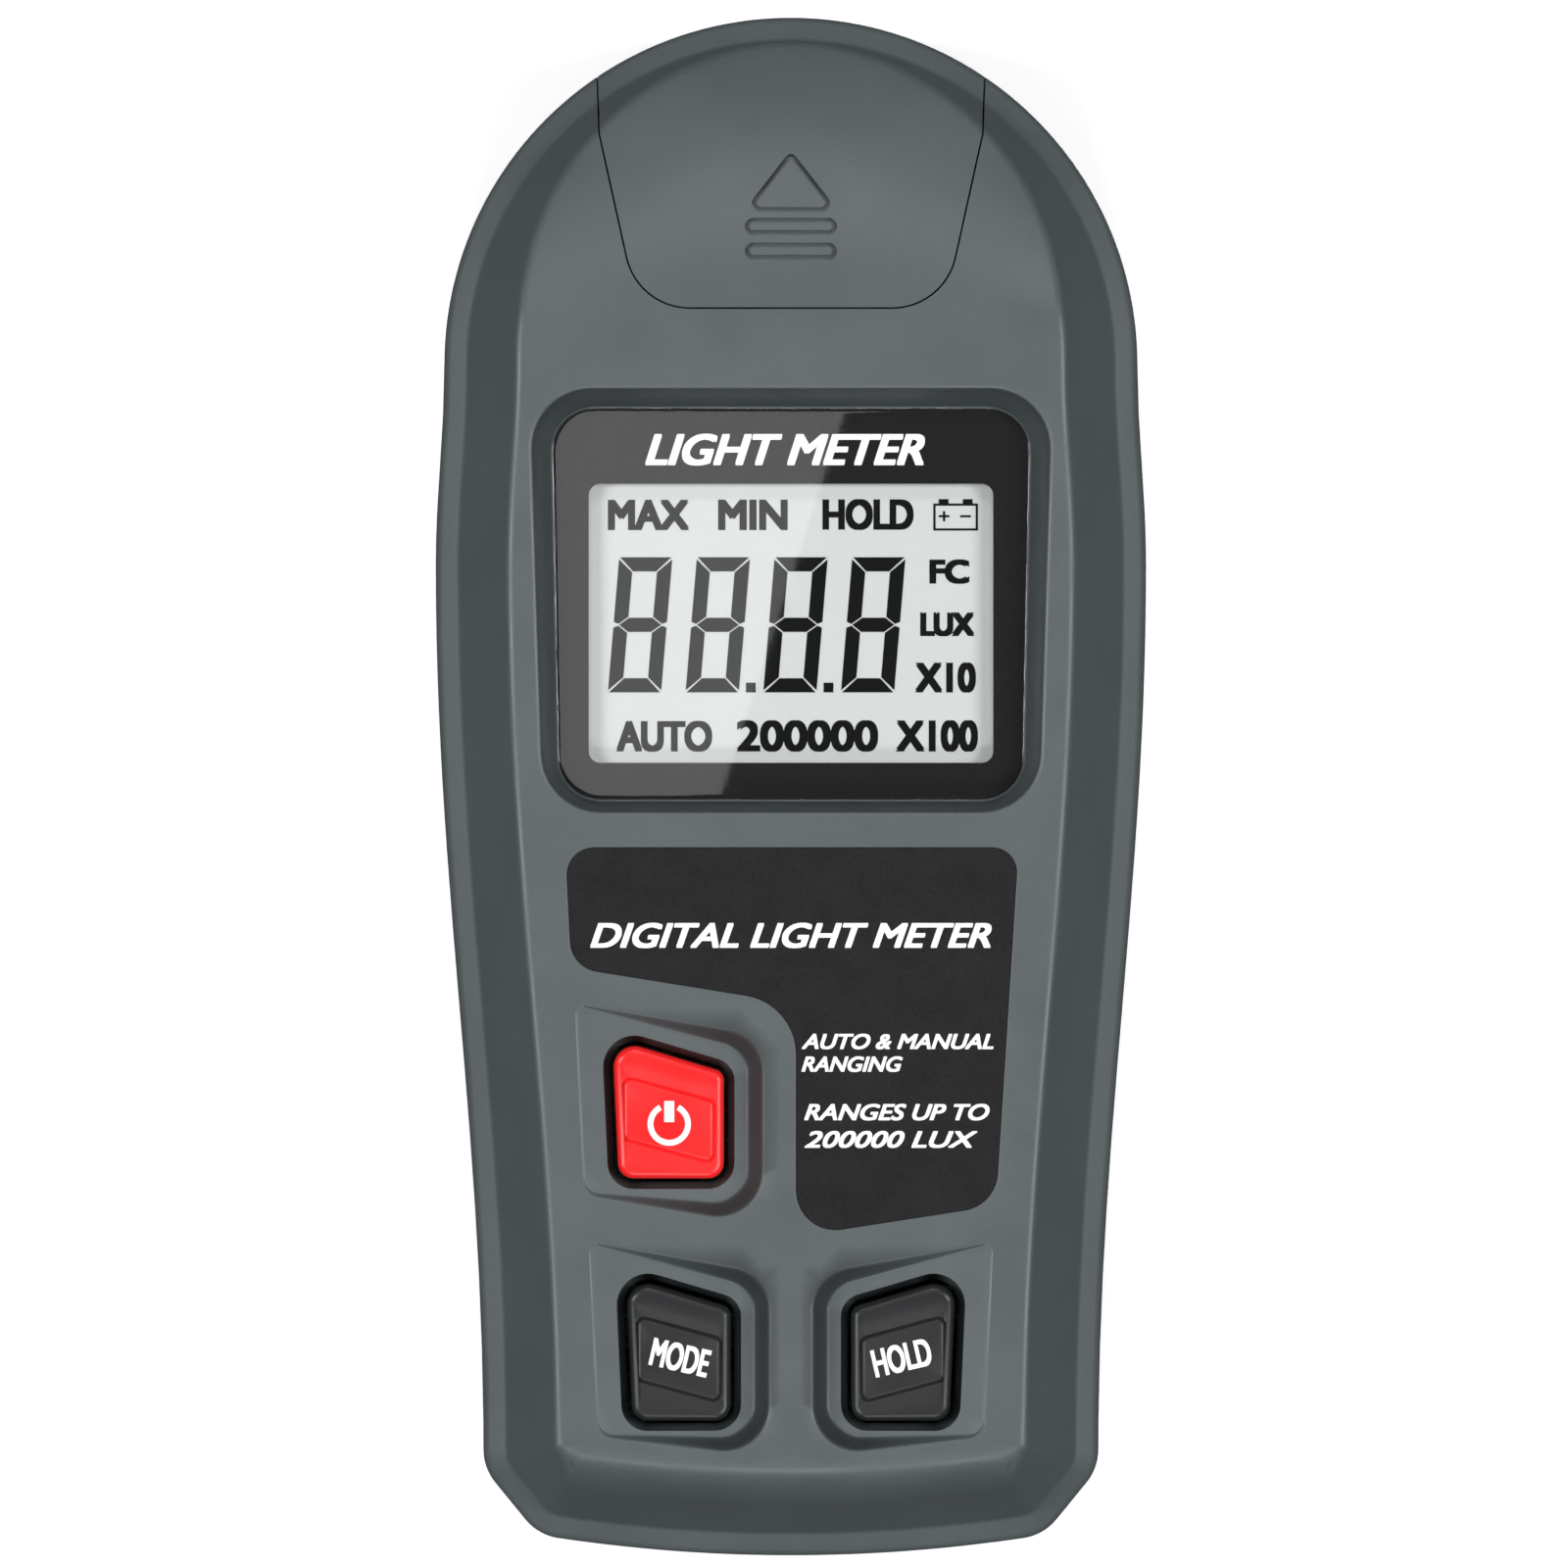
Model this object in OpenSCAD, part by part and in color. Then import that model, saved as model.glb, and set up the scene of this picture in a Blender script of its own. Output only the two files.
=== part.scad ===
// Hand-held light meter, lying on its back.
// +Z points out of the display side, +Y towards the sensor cap, z = 0 is the flat back.

/* [Case] */
// Height of the parting line between the rear and front case, above the back
part_z = 12.5; // [12.3:0.1:12.7]
// Height of the flat front face above the back
face_z = 27; // [26.8:0.1:27.6]
// Wall thickness of both case shells
wall = 2; // [1.8:0.1:2.1]
// Radius of the round top end in plan
top_radius = 26.6; // [26.4:0.1:27]
// Extra half-width at the waist, over the round end's radius
waist_bulge = 0.66; // [0.4:0.02:0.8]
// Half-width at the lower end
foot_half_w = 23.6; // [23.4:0.1:23.9]
// Radius of the curve over the top end, seen from the side
crown_radius = 39; // [38:1:44]

/* [Window] */
// Half-width of the glossy display plate
plate_half_w = 18.4; // [18.2:0.1:18.5]
// Depth of the display plate below the face
plate_depth = 1.4; // [1.2:0.1:1.5]

/* [Keys] */
// Travel of each key
key_travel = 0.6; // [0.4:0.1:0.7]
// Gap between a key and its hole
key_gap = 0.3; // [0.25:0.05:0.4]
// Height of the key tops above the face
key_proud = 0.3; // [0:0.1:0.6]

/* [Battery bay] */
// Radius of one cell
cell_radius = 5.2; // [5:0.05:5.25]
// Length of one cell, with its button
cell_len = 44.5; // [44:0.1:44.6]
// Distance between neighbouring cells
cell_pitch = 10.8; // [10.7:0.05:10.8]

/* [Sensor] */
// Radius of the white diffuser dome
dome_radius = 7.4; // [6.8:0.1:7.4]
// Height of the diffuser dome above the deck
dome_height = 5; // [4:0.1:5.2]
// Gap along the seam of the sensor cap
seam = 0.15; // [0.12:0.01:0.2]

/* [Hidden] */
$fn = 40;
slop = 0.1;          // how far a cutting shape passes the surface that it cuts
far = 80;            // longer than the object in any direction

// plan outline
top_y = 59;
top_centre_y = top_y - top_radius;
waist_y = 17;
foot_y = -59;
foot_arc_radius = 121;
foot_arc_centre_y = foot_y + foot_arc_radius;
foot_corner = [19.4, -57.44];
foot_shoulder = [foot_half_w, -52.3];
foot_round = 4;

// face, seen from the side
crown_start_y = 32;
roll_start_y = -51.3;
roll_reach = 5.8;

// side of the front case: upright wall, light bevel, leaning chamfer
band_low = 3.8;
band_top = 4.8;
band_low_inset = 0.15;
band_inset = 1.9;
side_top_inset = 5.9;

// board stack
board_z = 15.6;
board_t = 1.6;
board_top = board_z + board_t;
switch_size = 6;
switch_h = 3.5;
switch_floor = 0.6;  // bottom of the plunger's hole, above the board
plunger_r = 1.6;
flange_z = 21.8;
flange_t = 1;
roof_z = 23;         // underside of the case round the window and key holes
lcd_t = 2;
plate_t = 1.4;
plate_z = face_z - plate_depth - plate_t;
plate_seat = 0.4;    // height of the plate's edge that its seat holds

// display
recess_low_y = -2;
recess_high_y = 30.3;
plate_low_y = -1.1;
plate_high_y = 28.9;
lcd_low_y = 1.8;
lcd_high_y = 23.05;
lcd_half_w = 15.4;

// keys: inner bottom corner of each
power_at = [-5.1, -29.8];
mode_at = [-4.6, -48.2];
power_size = [8.5, 10.65];
mode_size = [7.95, 10.95];
power_skirt = 3.7;   // how far the thumb pocket reaches below the key
mode_skirt = 2.9;
well_gap = 1;        // width of the sloping ring round a key
well_step_z = face_z - 3.2;
pocket_depth = 1.8;
pocket_slope = 0.7;  // width of the pocket's sloping wall

// sensor end
deck_z = 15.5;
dome_y = 45.7;
cap_low_y = 36.3;
channel_half_w = 9.6;
runner_t = 1.6;
runner_gap = 0.25;
light_hole_r = 4;
filter_r = 5.1;
filter_seat = 1.4;   // depth of the filter's seat below the deck
engrave_depth = 0.3;
engrave_w = 0.35;
sensor_board_z = 10.4;
sensor_board_t = 1.2;

// battery bay
bay_low_y = -53;
bay_high_y = -2.9;
bay_half_w = 16.4;
bay_roof_z = 13.2;
cell_z = 7.7;
contact_t = 0.5;
cell_mid_y = (bay_low_y + bay_high_y) / 2;
spring_radius = 3;
wire_r = 0.35;

// battery door
door_half_w = 16.6;
door_t = 1.9;
door_high_y = -1.6;
tongue_w = 0.8;
tongue_z = 1.1;
door_gap = 0.15;

// fasteners
case_screw_at = [[20.7, 5], [19.5, 33.5]];
case_boss_r = 2.5;
case_head_z = 5;
board_screw_at = [[17.4, -45], [16.5, 29.6]];
board_post_r = 1.8;

// ---- outline helpers ----

function unit(v) = v / norm(v);
function left_of(v) = [-v[1], v[0]];

// Corner b of the path a-b-c, moved so that both edges shift left by d
function shifted_corner(a, b, c, d) =
    let (n1 = left_of(unit(b - a)), n2 = left_of(unit(c - b)))
    b + (n1 + n2) * d / (1 + n1 * n2);

// Points of a round of radius r at corner b of the path a-b-c
function corner_round(a, b, c, r, steps = 4) =
    let (u = unit(a - b), v = unit(c - b), half = acos(u * v) / 2)
    let (reach = r / tan(half), centre = b + unit(u + v) * r / sin(half))
    let (p = b + u * reach - centre, q = b + v * reach - centre)
    let (a0 = atan2(p[1], p[0]), turn = atan2(p[0] * q[1] - p[1] * q[0], p * q))
    [for (i = [0:steps]) centre + r * [cos(a0 + turn * i / steps), sin(a0 + turn * i / steps)]];

// Closed outline with a round at each corner
function rounded(pts, radii, steps = 4) =
    let (n = len(pts))
    [for (i = [0:n - 1])
        each corner_round(pts[(i + n - 1) % n], pts[i], pts[(i + 1) % n], radii[i], steps)];

// Closed anticlockwise outline, moved outwards by d
function grown(pts, d) =
    let (n = len(pts))
    [for (i = [0:n - 1]) shifted_corner(pts[(i + n - 1) % n], pts[i], pts[(i + 1) % n], -d)];

// Half-width of the case above the foot
function side_half_w(y) =
    y < waist_y
    ? (top_radius + waist_bulge + foot_half_w) / 2
        + (top_radius + waist_bulge - foot_half_w) / 2 * cos(180 * (waist_y - y) / 68)
    : top_radius + waist_bulge / 2
        + waist_bulge / 2 * cos(180 * (y - waist_y) / (top_centre_y - waist_y));

// Right half of the case outline, from the foot's middle to the top's, moved inwards by d
function half_outline(d) =
    let (
        round_r = max(foot_round - d, 0.8),
        tangent = foot_corner - [3, 0.46],
        upright = foot_shoulder + [0, 5],
        low = shifted_corner(tangent, foot_corner, foot_shoulder, d),
        high = shifted_corner(foot_corner, foot_shoulder, upright, d),
        low_round = corner_round(low - [3, 0.46], low, high, round_r),
        high_round = corner_round(low, high, high + [0, 5], round_r),
        arc_r = foot_arc_radius - d,
        foot_end = low_round[0][0],
        side_y0 = -48.6
    )
    concat(
        [for (i = [0:3]) let (x = foot_end * i / 4)
            [x, foot_arc_centre_y - sqrt(arc_r * arc_r - x * x)]],
        low_round,
        high_round,
        [for (i = [0:11]) let (y = side_y0 + (waist_y - side_y0) * i / 12) [side_half_w(y) - d, y]],
        [for (i = [0:3]) let (y = waist_y + (top_centre_y - waist_y) * i / 4) [side_half_w(y) - d, y]],
        [for (i = [0:14]) let (a = 90 * i / 14)
            [(top_radius - d) * cos(a), top_centre_y + (top_radius - d) * sin(a)]]
    );

// Whole case outline, anticlockwise, moved inwards by d
function case_outline(d) =
    let (half = half_outline(d), n = len(half))
    concat(half, [for (i = [n - 2:-1:1]) [-half[i][0], half[i][1]]]);

// ---- solid helpers ----

// Solid through a stack of rings, each a list of points in space, lowest first
module through_rings(rings) {
    n = len(rings[0]);
    top = len(rings) - 1;
    polyhedron(
        points = [for (ring = rings) each ring],
        faces = concat(
            [[for (i = [0:n - 1]) i]],
            [for (k = [0:top - 1]) for (i = [0:n - 1]) let (j = (i + 1) % n)
                each [
                    [k * n + i, (k + 1) * n + i, (k + 1) * n + j],
                    [k * n + i, (k + 1) * n + j, k * n + j]
                ]],
            [[for (i = [n - 1:-1:0]) top * n + i]]
        )
    );
}

function at_height(pts, z) = [for (p = pts) [p[0], p[1], z]];

// Case-shaped solid from a list of [height, inset]
module case_loft(levels) {
    through_rings([for (l = levels) at_height(case_outline(l[1]), l[0])]);
}

module prism(pts, z0, z1) {
    translate([0, 0, z0])
        linear_extrude(height = z1 - z0)
            polygon(pts);
}

module box(low, high) {
    translate(low)
        cube(high - low);
}

module disc(at, r, z0, z1) {
    translate([at[0], at[1], z0])
        cylinder(r = r, h = z1 - z0);
}

module both_sides() {
    children();
    mirror([1, 0, 0])
        children();
}

// Everything under the curved front face, lowered by drop
module under_face(drop) {
    crown_end = 30;
    band_z = part_z + band_top;
    profile = concat(
        [[-far, -far], [far, -far]],
        [[far, face_z - drop - 24]],
        [for (i = [12:-1:0]) let (s = crown_end * i / 12)
            [crown_start_y + s,
                face_z - drop - crown_radius + sqrt(crown_radius * crown_radius - s * s)]],
        [for (i = [0:6]) let (s = i / 6)
            [roll_start_y - roll_reach * s, face_z - drop - (face_z - band_z) * s * s]],
        [[-far, band_z - drop]]
    );
    rotate([90, 0, 90])
        linear_extrude(height = far, center = true)
            polygon(profile);
}

// ---- case shells ----

module front_blank() {
    intersection() {
        case_loft([
            [part_z, 0], [part_z + band_low, band_low_inset], [part_z + band_top, band_inset],
            [face_z + 0.5, side_top_inset]
        ]);
        under_face(0);
    }
}

module front_hollow() {
    intersection() {
        case_loft([
            [part_z - slop, wall], [part_z + 3, wall + 0.4], [part_z + 5, wall + 1.9],
            [face_z - wall, wall + 5.3]
        ]);
        under_face(wall);
    }
}

function cap_outline(d) =
    let (right = [[11.7, cap_low_y], [14.7, 49.8], [15.25, 62]])
    let (pts = concat(right, [for (i = [2:-1:0]) [-right[i][0], right[i][1]]]))
    rounded(grown(pts, d), [5 + d, 0.5, 0.5, 0.5, 0.5, 5 + d]);

function label_outline(d) = let (
    pts = [[-17.15, -4.63], [-16.7, -13.75], [0.38, -16.5], [0.38, -34.2], [15.57, -31.85],
        [17.3, -4.63]]
    )
    rounded(grown(pts, d), [2.1 + d, 2.4 + d, 4.5 - d, 3 + d, 3 + d, 1.9 + d]);

// Rounded rectangle, symmetric about the middle, with its own half-widths below and above
function window_outline(low_y, high_y, half_w, taper, r) =
    rounded([[half_w - taper, low_y], [half_w, high_y], [-half_w, high_y], [taper - half_w, low_y]],
        [r, r, r, r]);

// Key outline from its inner bottom corner; the top edge slants up towards the outer side
function key_corners(at, size) = [
    [at[0] - size[0] + 0.5, at[1]], [at[0], at[1]],
    [at[0], at[1] + size[1] - 0.3 * size[0]], [at[0] - size[0], at[1] + size[1]]
];
function key_outline(at, size, d) =
    rounded(grown(key_corners(at, size), d), [1.2 + d, 1.2 + d, 0.9 + d, 1.6 + d]);

// Sloping thumb pocket round a key: it deepens from its outer side to its inner side
module key_pocket(at, size, skirt) {
    inner_x = at[0] + 3.1;
    outer_x = at[0] - size[0] - 2.9;
    corners = [[outer_x + 0.7, at[1] - 1.25], [inner_x, at[1] - skirt],
        [inner_x, at[1] + size[1] + 0.3], [outer_x, at[1] + size[1] + 2.7]];
    radii = [1.5, 3.6, 3.4, 0.6];
    low = [for (p = rounded(grown(corners, -pocket_slope), radii - [1, 1, 1, 0.4] * pocket_slope))
        [p[0], p[1], face_z - 0.02 - pocket_depth * max(p[0] - outer_x, 0) / (inner_x - outer_x)]];
    through_rings([low, at_height(rounded(corners, radii), face_z + 0.02)]);
}

// Cut for one key: thumb pocket, sloping ring and the hole that the key runs in
module key_cut(at, size, skirt) {
    key_pocket(at, size, skirt);
    through_rings([
        at_height(key_outline(at, size, key_gap), well_step_z),
        at_height(key_outline(at, size, well_gap + 0.35), face_z + 0.02)
    ]);
    prism(key_outline(at, size, key_gap), roof_z - 1, face_z);
}

// Wall round a key hole, down from the roof
module key_tube(at, size) {
    prism(key_outline(at, size, well_gap + 1.1), roof_z, face_z - 0.5);
}

module each_key_place() {
    children(0);
    children(1);
    mirror([1, 0, 0])
        children(1);
}

module case_bosses(z0, z1, r) {
    both_sides()
        for (p = case_screw_at)
            disc(p, r, z0, z1);
}

module board_posts(z0, z1, r) {
    both_sides()
        for (p = board_screw_at)
            disc(p, r, z0, z1);
}

module cap_house() {
    prism(cap_outline(wall), part_z - 1, face_z + 1);
}

module deck_grooves() {
    both_sides()
        box([channel_half_w - runner_gap, cap_low_y, deck_z - 1.8],
            [channel_half_w + runner_t + runner_gap, top_y + 1, face_z + 1]);
}

module front_case() {
    color("dimgray")
        difference() {
            union() {
                difference() {
                    front_blank();
                    difference() {
                        front_hollow();
                        cap_house();
                    }
                }
                intersection() {
                    front_blank();
                    union() {
                        prism(window_outline(recess_low_y - 2, recess_high_y + 2, 22, 1, 5),
                            roof_z, face_z - 1);
                        each_key_place() {
                            key_tube(power_at, power_size);
                            key_tube(mode_at, mode_size);
                        }
                        case_bosses(part_z, part_z + 8, case_boss_r);
                        board_posts(board_top, face_z - 1, board_post_r);
                    }
                }
                difference() {
                    prism(case_outline(wall + slop), part_z - 1.5, part_z + 1);
                    prism(case_outline(wall + 1.1), part_z - 2, part_z + 2);
                    box([-13.5, -far, part_z - 4], [13.5, 0, part_z + 2]);
                }
                both_sides() {
                    box([7, -56.35, part_z - 3.5], [13, -55.15, part_z + 4]);
                    box([7, -57.1, part_z - 3.1], [13, -55.9, part_z - 2.1]);
                }
            }
            cap_space();
            window_cut();
            prism(label_outline(0.05), face_z - 0.25, face_z + 1);
            each_key_place() {
                key_cut(power_at, power_size, power_skirt);
                key_cut(mode_at, mode_size, mode_skirt);
            }
            case_bosses(part_z - 2, part_z + 6.5, 1);
            board_posts(board_top - 1, board_top + 4, 0.8);
            sensor_bores();
        }
}

// Space that the sensor cap and what is under it take up
module cap_space() {
    prism(cap_outline(0), deck_z, face_z + 1);
    difference() {
        prism(cap_outline(0), part_z - 2, deck_z + 1);
        prism(case_outline(wall + 0.6), part_z - 3, deck_z + 2);
    }
    intersection() {
        deck_grooves();
        prism(cap_outline(0), part_z, face_z + 1);
    }
    prism(cap_outline(wall + 1), part_z - far, part_z);
}

module window_cut() {
    low = window_outline(plate_low_y - 0.05, plate_high_y + 0.05, plate_half_w + 0.05, 0.6, 3.4);
    high = window_outline(recess_low_y, recess_high_y, 19.9, 1, 4.6);
    through_rings([
        at_height(low, plate_z), at_height(low, plate_z + plate_seat), at_height(high, face_z + 0.02)
    ]);
    prism(window_outline(lcd_low_y - 0.8, lcd_high_y + 0.8, lcd_half_w + 0.8, 0, 1),
        roof_z - 1, face_z);
}

module sensor_bores() {
    disc([0, dome_y], light_hole_r, part_z - 1, face_z);
    disc([0, dome_y], filter_r + 0.1, deck_z - filter_seat, face_z);
}

module rear_blank() {
    case_loft([[0, 4], [0.7, 2.3], [2, 1], [4, 0.2], [6, 0], [part_z, 0]]);
}

module rear_hollow() {
    case_loft([[1.8, wall + 2.2], [4, wall + 0.6], [6, wall], [part_z + slop, wall]]);
}

module rear_case() {
    color("dimgray")
        difference() {
            union() {
                difference() {
                    rear_blank();
                    rear_hollow();
                }
                box([-bay_half_w - 1.2, bay_low_y - 1.2, 1], [bay_half_w + 1.2, bay_high_y + 1.2,
                    bay_roof_z + 1]);
                intersection() {
                    rear_blank();
                    union() {
                        case_bosses(0.5, part_z, case_boss_r);
                        box([-19, -far, 0], [19, bay_high_y + 1.2, 3.2]);
                    }
                }
            }
            box([-bay_half_w, bay_low_y, -1], [bay_half_w, bay_high_y, bay_roof_z]);
            door_space();
            contact_slots();
            case_bosses(-1, case_head_z, 2.2);
            case_bosses(0, part_z + 1, 1.25);
            both_sides()
                box([6.8, -57.4, part_z - 3.4], [13.2, -55.5, part_z - 1.8]);
        }
}

// Slots in the bay roof that the contact tabs pass through
module contact_slots() {
    box([-cell_pitch - 1.6, bay_high_y - 0.7, bay_roof_z - 1],
        [-cell_pitch + 1.6, bay_high_y, bay_roof_z + 2]);
    box([cell_pitch - 1.6, bay_low_y, bay_roof_z - 1],
        [cell_pitch + 1.6, bay_low_y + 0.7, bay_roof_z + 2]);
}

module door_space() {
    box([-door_half_w - door_gap, -far, -1],
        [door_half_w + door_gap, door_high_y + door_gap, door_t + door_gap]);
    box([-door_half_w - tongue_w - door_gap, -far, tongue_z - door_gap],
        [door_half_w + tongue_w + door_gap, bay_high_y, door_t + door_gap]);
}

module battery_door() {
    color("dimgray")
        difference() {
            intersection() {
                rear_blank();
                union() {
                    box([-door_half_w, -far, -1], [door_half_w, door_high_y, door_t]);
                    box([-door_half_w - tongue_w, bay_low_y + 2, tongue_z],
                        [door_half_w + tongue_w, bay_high_y - 1, door_t]);
                }
            }
            for (i = [0:3])
                box([-6, -9 - 2 * i, -1], [6, -8.2 - 2 * i, 0.4]);
        }
}

module sensor_cap() {
    color("dimgray")
        difference() {
            intersection() {
                front_blank();
                prism(cap_outline(-seam), part_z + 0.1, face_z + 1);
            }
            intersection() {
                cap_hollow();
                cap_clearance();
            }
            thumb_mark();
        }
}

module cap_hollow() {
    intersection() {
        case_loft([[part_z, wall + 0.3], [deck_z, wall + 0.3], [part_z + 5, wall + 1.9],
            [face_z, wall + 5.7]]);
        under_face(wall);
    }
}

module cap_clearance() {
    box([-channel_half_w, 20, part_z - 1], [channel_half_w, far, face_z]);
    both_sides() {
        intersection() {
            prism(cap_outline(-seam - 1.5), part_z - 1, face_z);
            box([channel_half_w + runner_t, 20, part_z - 1], [far, far, face_z]);
        }
        box([channel_half_w + runner_t, 20, part_z - 1], [far, far, deck_z + 0.25]);
        box([channel_half_w - 1, 20, part_z - 1], [channel_half_w + 2, far, deck_z - 1.5]);
    }
}

// Engraved arrow and two bars that show which way the cap slides
module thumb_mark() {
    arrow = [[-3.3, 44.1], [3.3, 44.1], [0, 48.9]];
    difference() {
        union() {
            difference() {
                prism(rounded(arrow, [0.7, 0.7, 0.5]), deck_z, face_z + 1);
                prism(rounded(grown(arrow, -engrave_w), [0.4, 0.4, 0.3]), deck_z - 1, face_z + 2);
            }
            for (y = [42.9, 41.1])
                difference() {
                    prism(bar_outline(y, 0), deck_z, face_z + 1);
                    prism(bar_outline(y, -engrave_w), deck_z - 1, face_z + 2);
                }
        }
        under_face(engrave_depth);
    }
}

function bar_outline(y, d) = rounded(
    grown([[-3.45, y - 0.6], [3.45, y - 0.6], [3.45, y + 0.6], [-3.45, y + 0.6]], d),
    [for (i = [0:3]) 0.55 + d]);

// ---- display ----

module display_window() {
    color("black")
        prism(window_outline(plate_low_y, plate_high_y, plate_half_w, 0.6, 3.4),
            plate_z, plate_z + plate_t);
}

module front_label() {
    color([0.17, 0.17, 0.17])
        prism(label_outline(0), face_z - 0.25, face_z - 0.05);
}

module lcd_panel() {
    color("honeydew")
        prism(window_outline(lcd_low_y - 2.4, lcd_high_y + 2.4, 16.6, 0, 0.3),
            roof_z - 0.1 - lcd_t, roof_z - 0.1);
}

module lcd_holder() {
    color("white")
        difference() {
            box([-17.7, lcd_low_y - 3.8, board_top], [17.7, lcd_high_y + 3.8, roof_z - 0.1]);
            box([-16.7, lcd_low_y - 2.5, roof_z - 0.2 - lcd_t],
                [16.7, lcd_high_y + 2.5, roof_z]);
            box([-16, lcd_low_y - 2, board_top - 1], [16, lcd_high_y + 2, roof_z]);
        }
}

module lcd_connectors() {
    color("gray")
        for (y = [lcd_low_y - 1.9, lcd_high_y + 0.1])
            box([-15, y, board_top], [15, y + 1.8, roof_z - 0.1 - lcd_t]);
}

// ---- keys and switches ----

module key(at, size) {
    top = face_z + key_proud;
    base = at_height(key_outline(at, size, 0), flange_z + flange_t - slop);
    shoulder = at_height(key_outline(at, size, 0), top - 0.5);
    crown = at_height(key_outline(at, size, -0.5), top);
    prism(key_outline(at, size, 0.9), flange_z, flange_z + flange_t);
    through_rings([base, shoulder, crown]);
}

function key_middle(at, size) = at + [-size[0] / 2, size[1] / 2 - 0.4];

module switch_body(at, size) {
    c = key_middle(at, size);
    half = switch_size / 2;
    difference() {
        box([c[0] - half, c[1] - half, board_top], [c[0] + half, c[1] + half, board_top + switch_h]);
        disc(c, plunger_r + 0.05, board_top + switch_floor, far);
    }
}

module plunger(at, size) {
    disc(key_middle(at, size), plunger_r, board_top + switch_floor + key_travel + 0.2, flange_z);
}

module power_key() {
    color("red")
        key(power_at, power_size);
}

module mode_key() {
    color([0.18, 0.18, 0.18])
        key(mode_at, mode_size);
}

module hold_key() {
    color([0.18, 0.18, 0.18])
        mirror([1, 0, 0])
            key(mode_at, mode_size);
}

module power_switch() {
    color("black")
        switch_body(power_at, power_size);
}

module mode_switch() {
    color("black")
        switch_body(mode_at, mode_size);
}

module hold_switch() {
    color("black")
        mirror([1, 0, 0])
            switch_body(mode_at, mode_size);
}

module power_plunger() {
    color("ivory")
        plunger(power_at, power_size);
}

module mode_plunger() {
    color("ivory")
        plunger(mode_at, mode_size);
}

module hold_plunger() {
    color("ivory")
        mirror([1, 0, 0])
            plunger(mode_at, mode_size);
}

// ---- main board ----

module main_board() {
    outline = rounded([[18.6, -50.5], [20.4, -20], [20.4, 31], [-20.4, 31], [-20.4, -20],
        [-18.6, -50.5]], [3, 40, 3, 3, 40, 3]);
    color("darkgreen")
        difference() {
            prism(outline, board_z, board_top);
            case_bosses(0, far, case_boss_r + 0.4);
            board_posts(0, far, 0.9);
        }
}

module controller_chip() {
    color([0.1, 0.1, 0.1])
        box([-6, 7, board_top], [6, 19, board_top + 1.4]);
}

module timing_crystal() {
    color("silver") {
        disc([11, 8], 1.55, board_top, board_top + 2.4);
        disc([11, 8], 1.9, board_top, board_top + 0.4);
    }
}

// Rows of small resistors and capacitors
module board_parts() {
    color("tan") {
        for (i = [0:4])
            box([7 + 1.8 * i, 16, board_top], [8 + 1.8 * i, 18, board_top + 0.6]);
        for (i = [0:3])
            box([-14 + 1.8 * i, 16, board_top], [-13 + 1.8 * i, 18, board_top + 0.8]);
        for (i = [0:5])
            box([3, -8 - 2.2 * i, board_top], [5, -7 - 2.2 * i, board_top + 0.6]);
    }
    color("black")
        disc([13, -16], 3, board_top, board_top + 4.5);
}

module case_screws() {
    color("silver")
        both_sides()
            for (p = case_screw_at)
                screw(p, case_head_z, 2, 1.5, 0.97, 12.8);
}

module board_screws() {
    color("silver")
        both_sides()
            for (p = board_screw_at)
                screw(p, board_z, 1.6, 1.1, 0.77, 5.2);
}

// Screw whose head bears on a face at z and whose shank goes up
module screw(at, z, head_r, head_h, shank_r, shank_len) {
    difference() {
        union() {
            disc(at, head_r, z - head_h, z);
            disc(at, shank_r, z - slop, z + shank_len);
        }
        for (turn = [0, 90])
            translate([at[0], at[1], z - head_h])
                rotate([0, 0, turn])
                    cube([head_r * 1.3, 0.4, head_h], center = true);
    }
}

// ---- sensor ----

module sensor_dome() {
    inner = dome_radius - 1.1;
    color("white")
        translate([0, dome_y, deck_z])
            rotate_extrude()
                polygon(concat(
                    [[inner, 0], [dome_radius + 0.8, 0], [dome_radius + 0.8, 0.6], [dome_radius, 0.6]],
                    [for (i = [1:9]) let (a = 90 * i / 9)
                        [dome_radius * cos(a), 0.6 + (dome_height - 0.6) * sin(a)]],
                    [for (i = [9:-1:1]) let (a = 90 * i / 9)
                        [inner * cos(a), 0.2 + (dome_height - 1.3) * sin(a)]]
                ));
}

module dome_ring() {
    color("dimgray")
        translate([0, dome_y, deck_z])
            rotate_extrude()
                polygon([
                    [dome_radius + 0.85, 0], [dome_radius + 1.6, 0], [dome_radius + 1.6, 1.1],
                    [dome_radius + 1.3, 1.4], [dome_radius + 0.15, 1.4], [dome_radius + 0.15, 0.65],
                    [dome_radius + 0.85, 0.65]
                ]);
}

module filter_glass() {
    color("teal")
        disc([0, dome_y], filter_r, deck_z - filter_seat, deck_z - 0.3);
}

module photodiode() {
    color("silver") {
        disc([0, dome_y], 3, sensor_board_z + sensor_board_t, deck_z - 1.9);
        disc([0, dome_y], 3.6, sensor_board_z + sensor_board_t, sensor_board_z + sensor_board_t + 0.5);
    }
}

module sensor_board() {
    color("darkgreen")
        difference() {
            prism(rounded([[8, 38], [8, 52], [-8, 52], [-8, 38]], [1, 1, 1, 1]),
                sensor_board_z, sensor_board_z + sensor_board_t);
            both_sides()
                disc([6, dome_y], 0.9, 0, far);
        }
}

// Wire of straight stretches with round joints
module wire(pts) {
    for (i = [0:len(pts) - 2]) {
        v = pts[i + 1] - pts[i];
        translate(pts[i])
            rotate([0, acos(v[2] / norm(v)), atan2(v[1], v[0])])
                cylinder(r = wire_r, h = norm(v), $fn = 20);
        if (i > 0)
            translate(pts[i])
                sphere(r = wire_r + 0.03, $fn = 20);
    }
}

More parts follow.
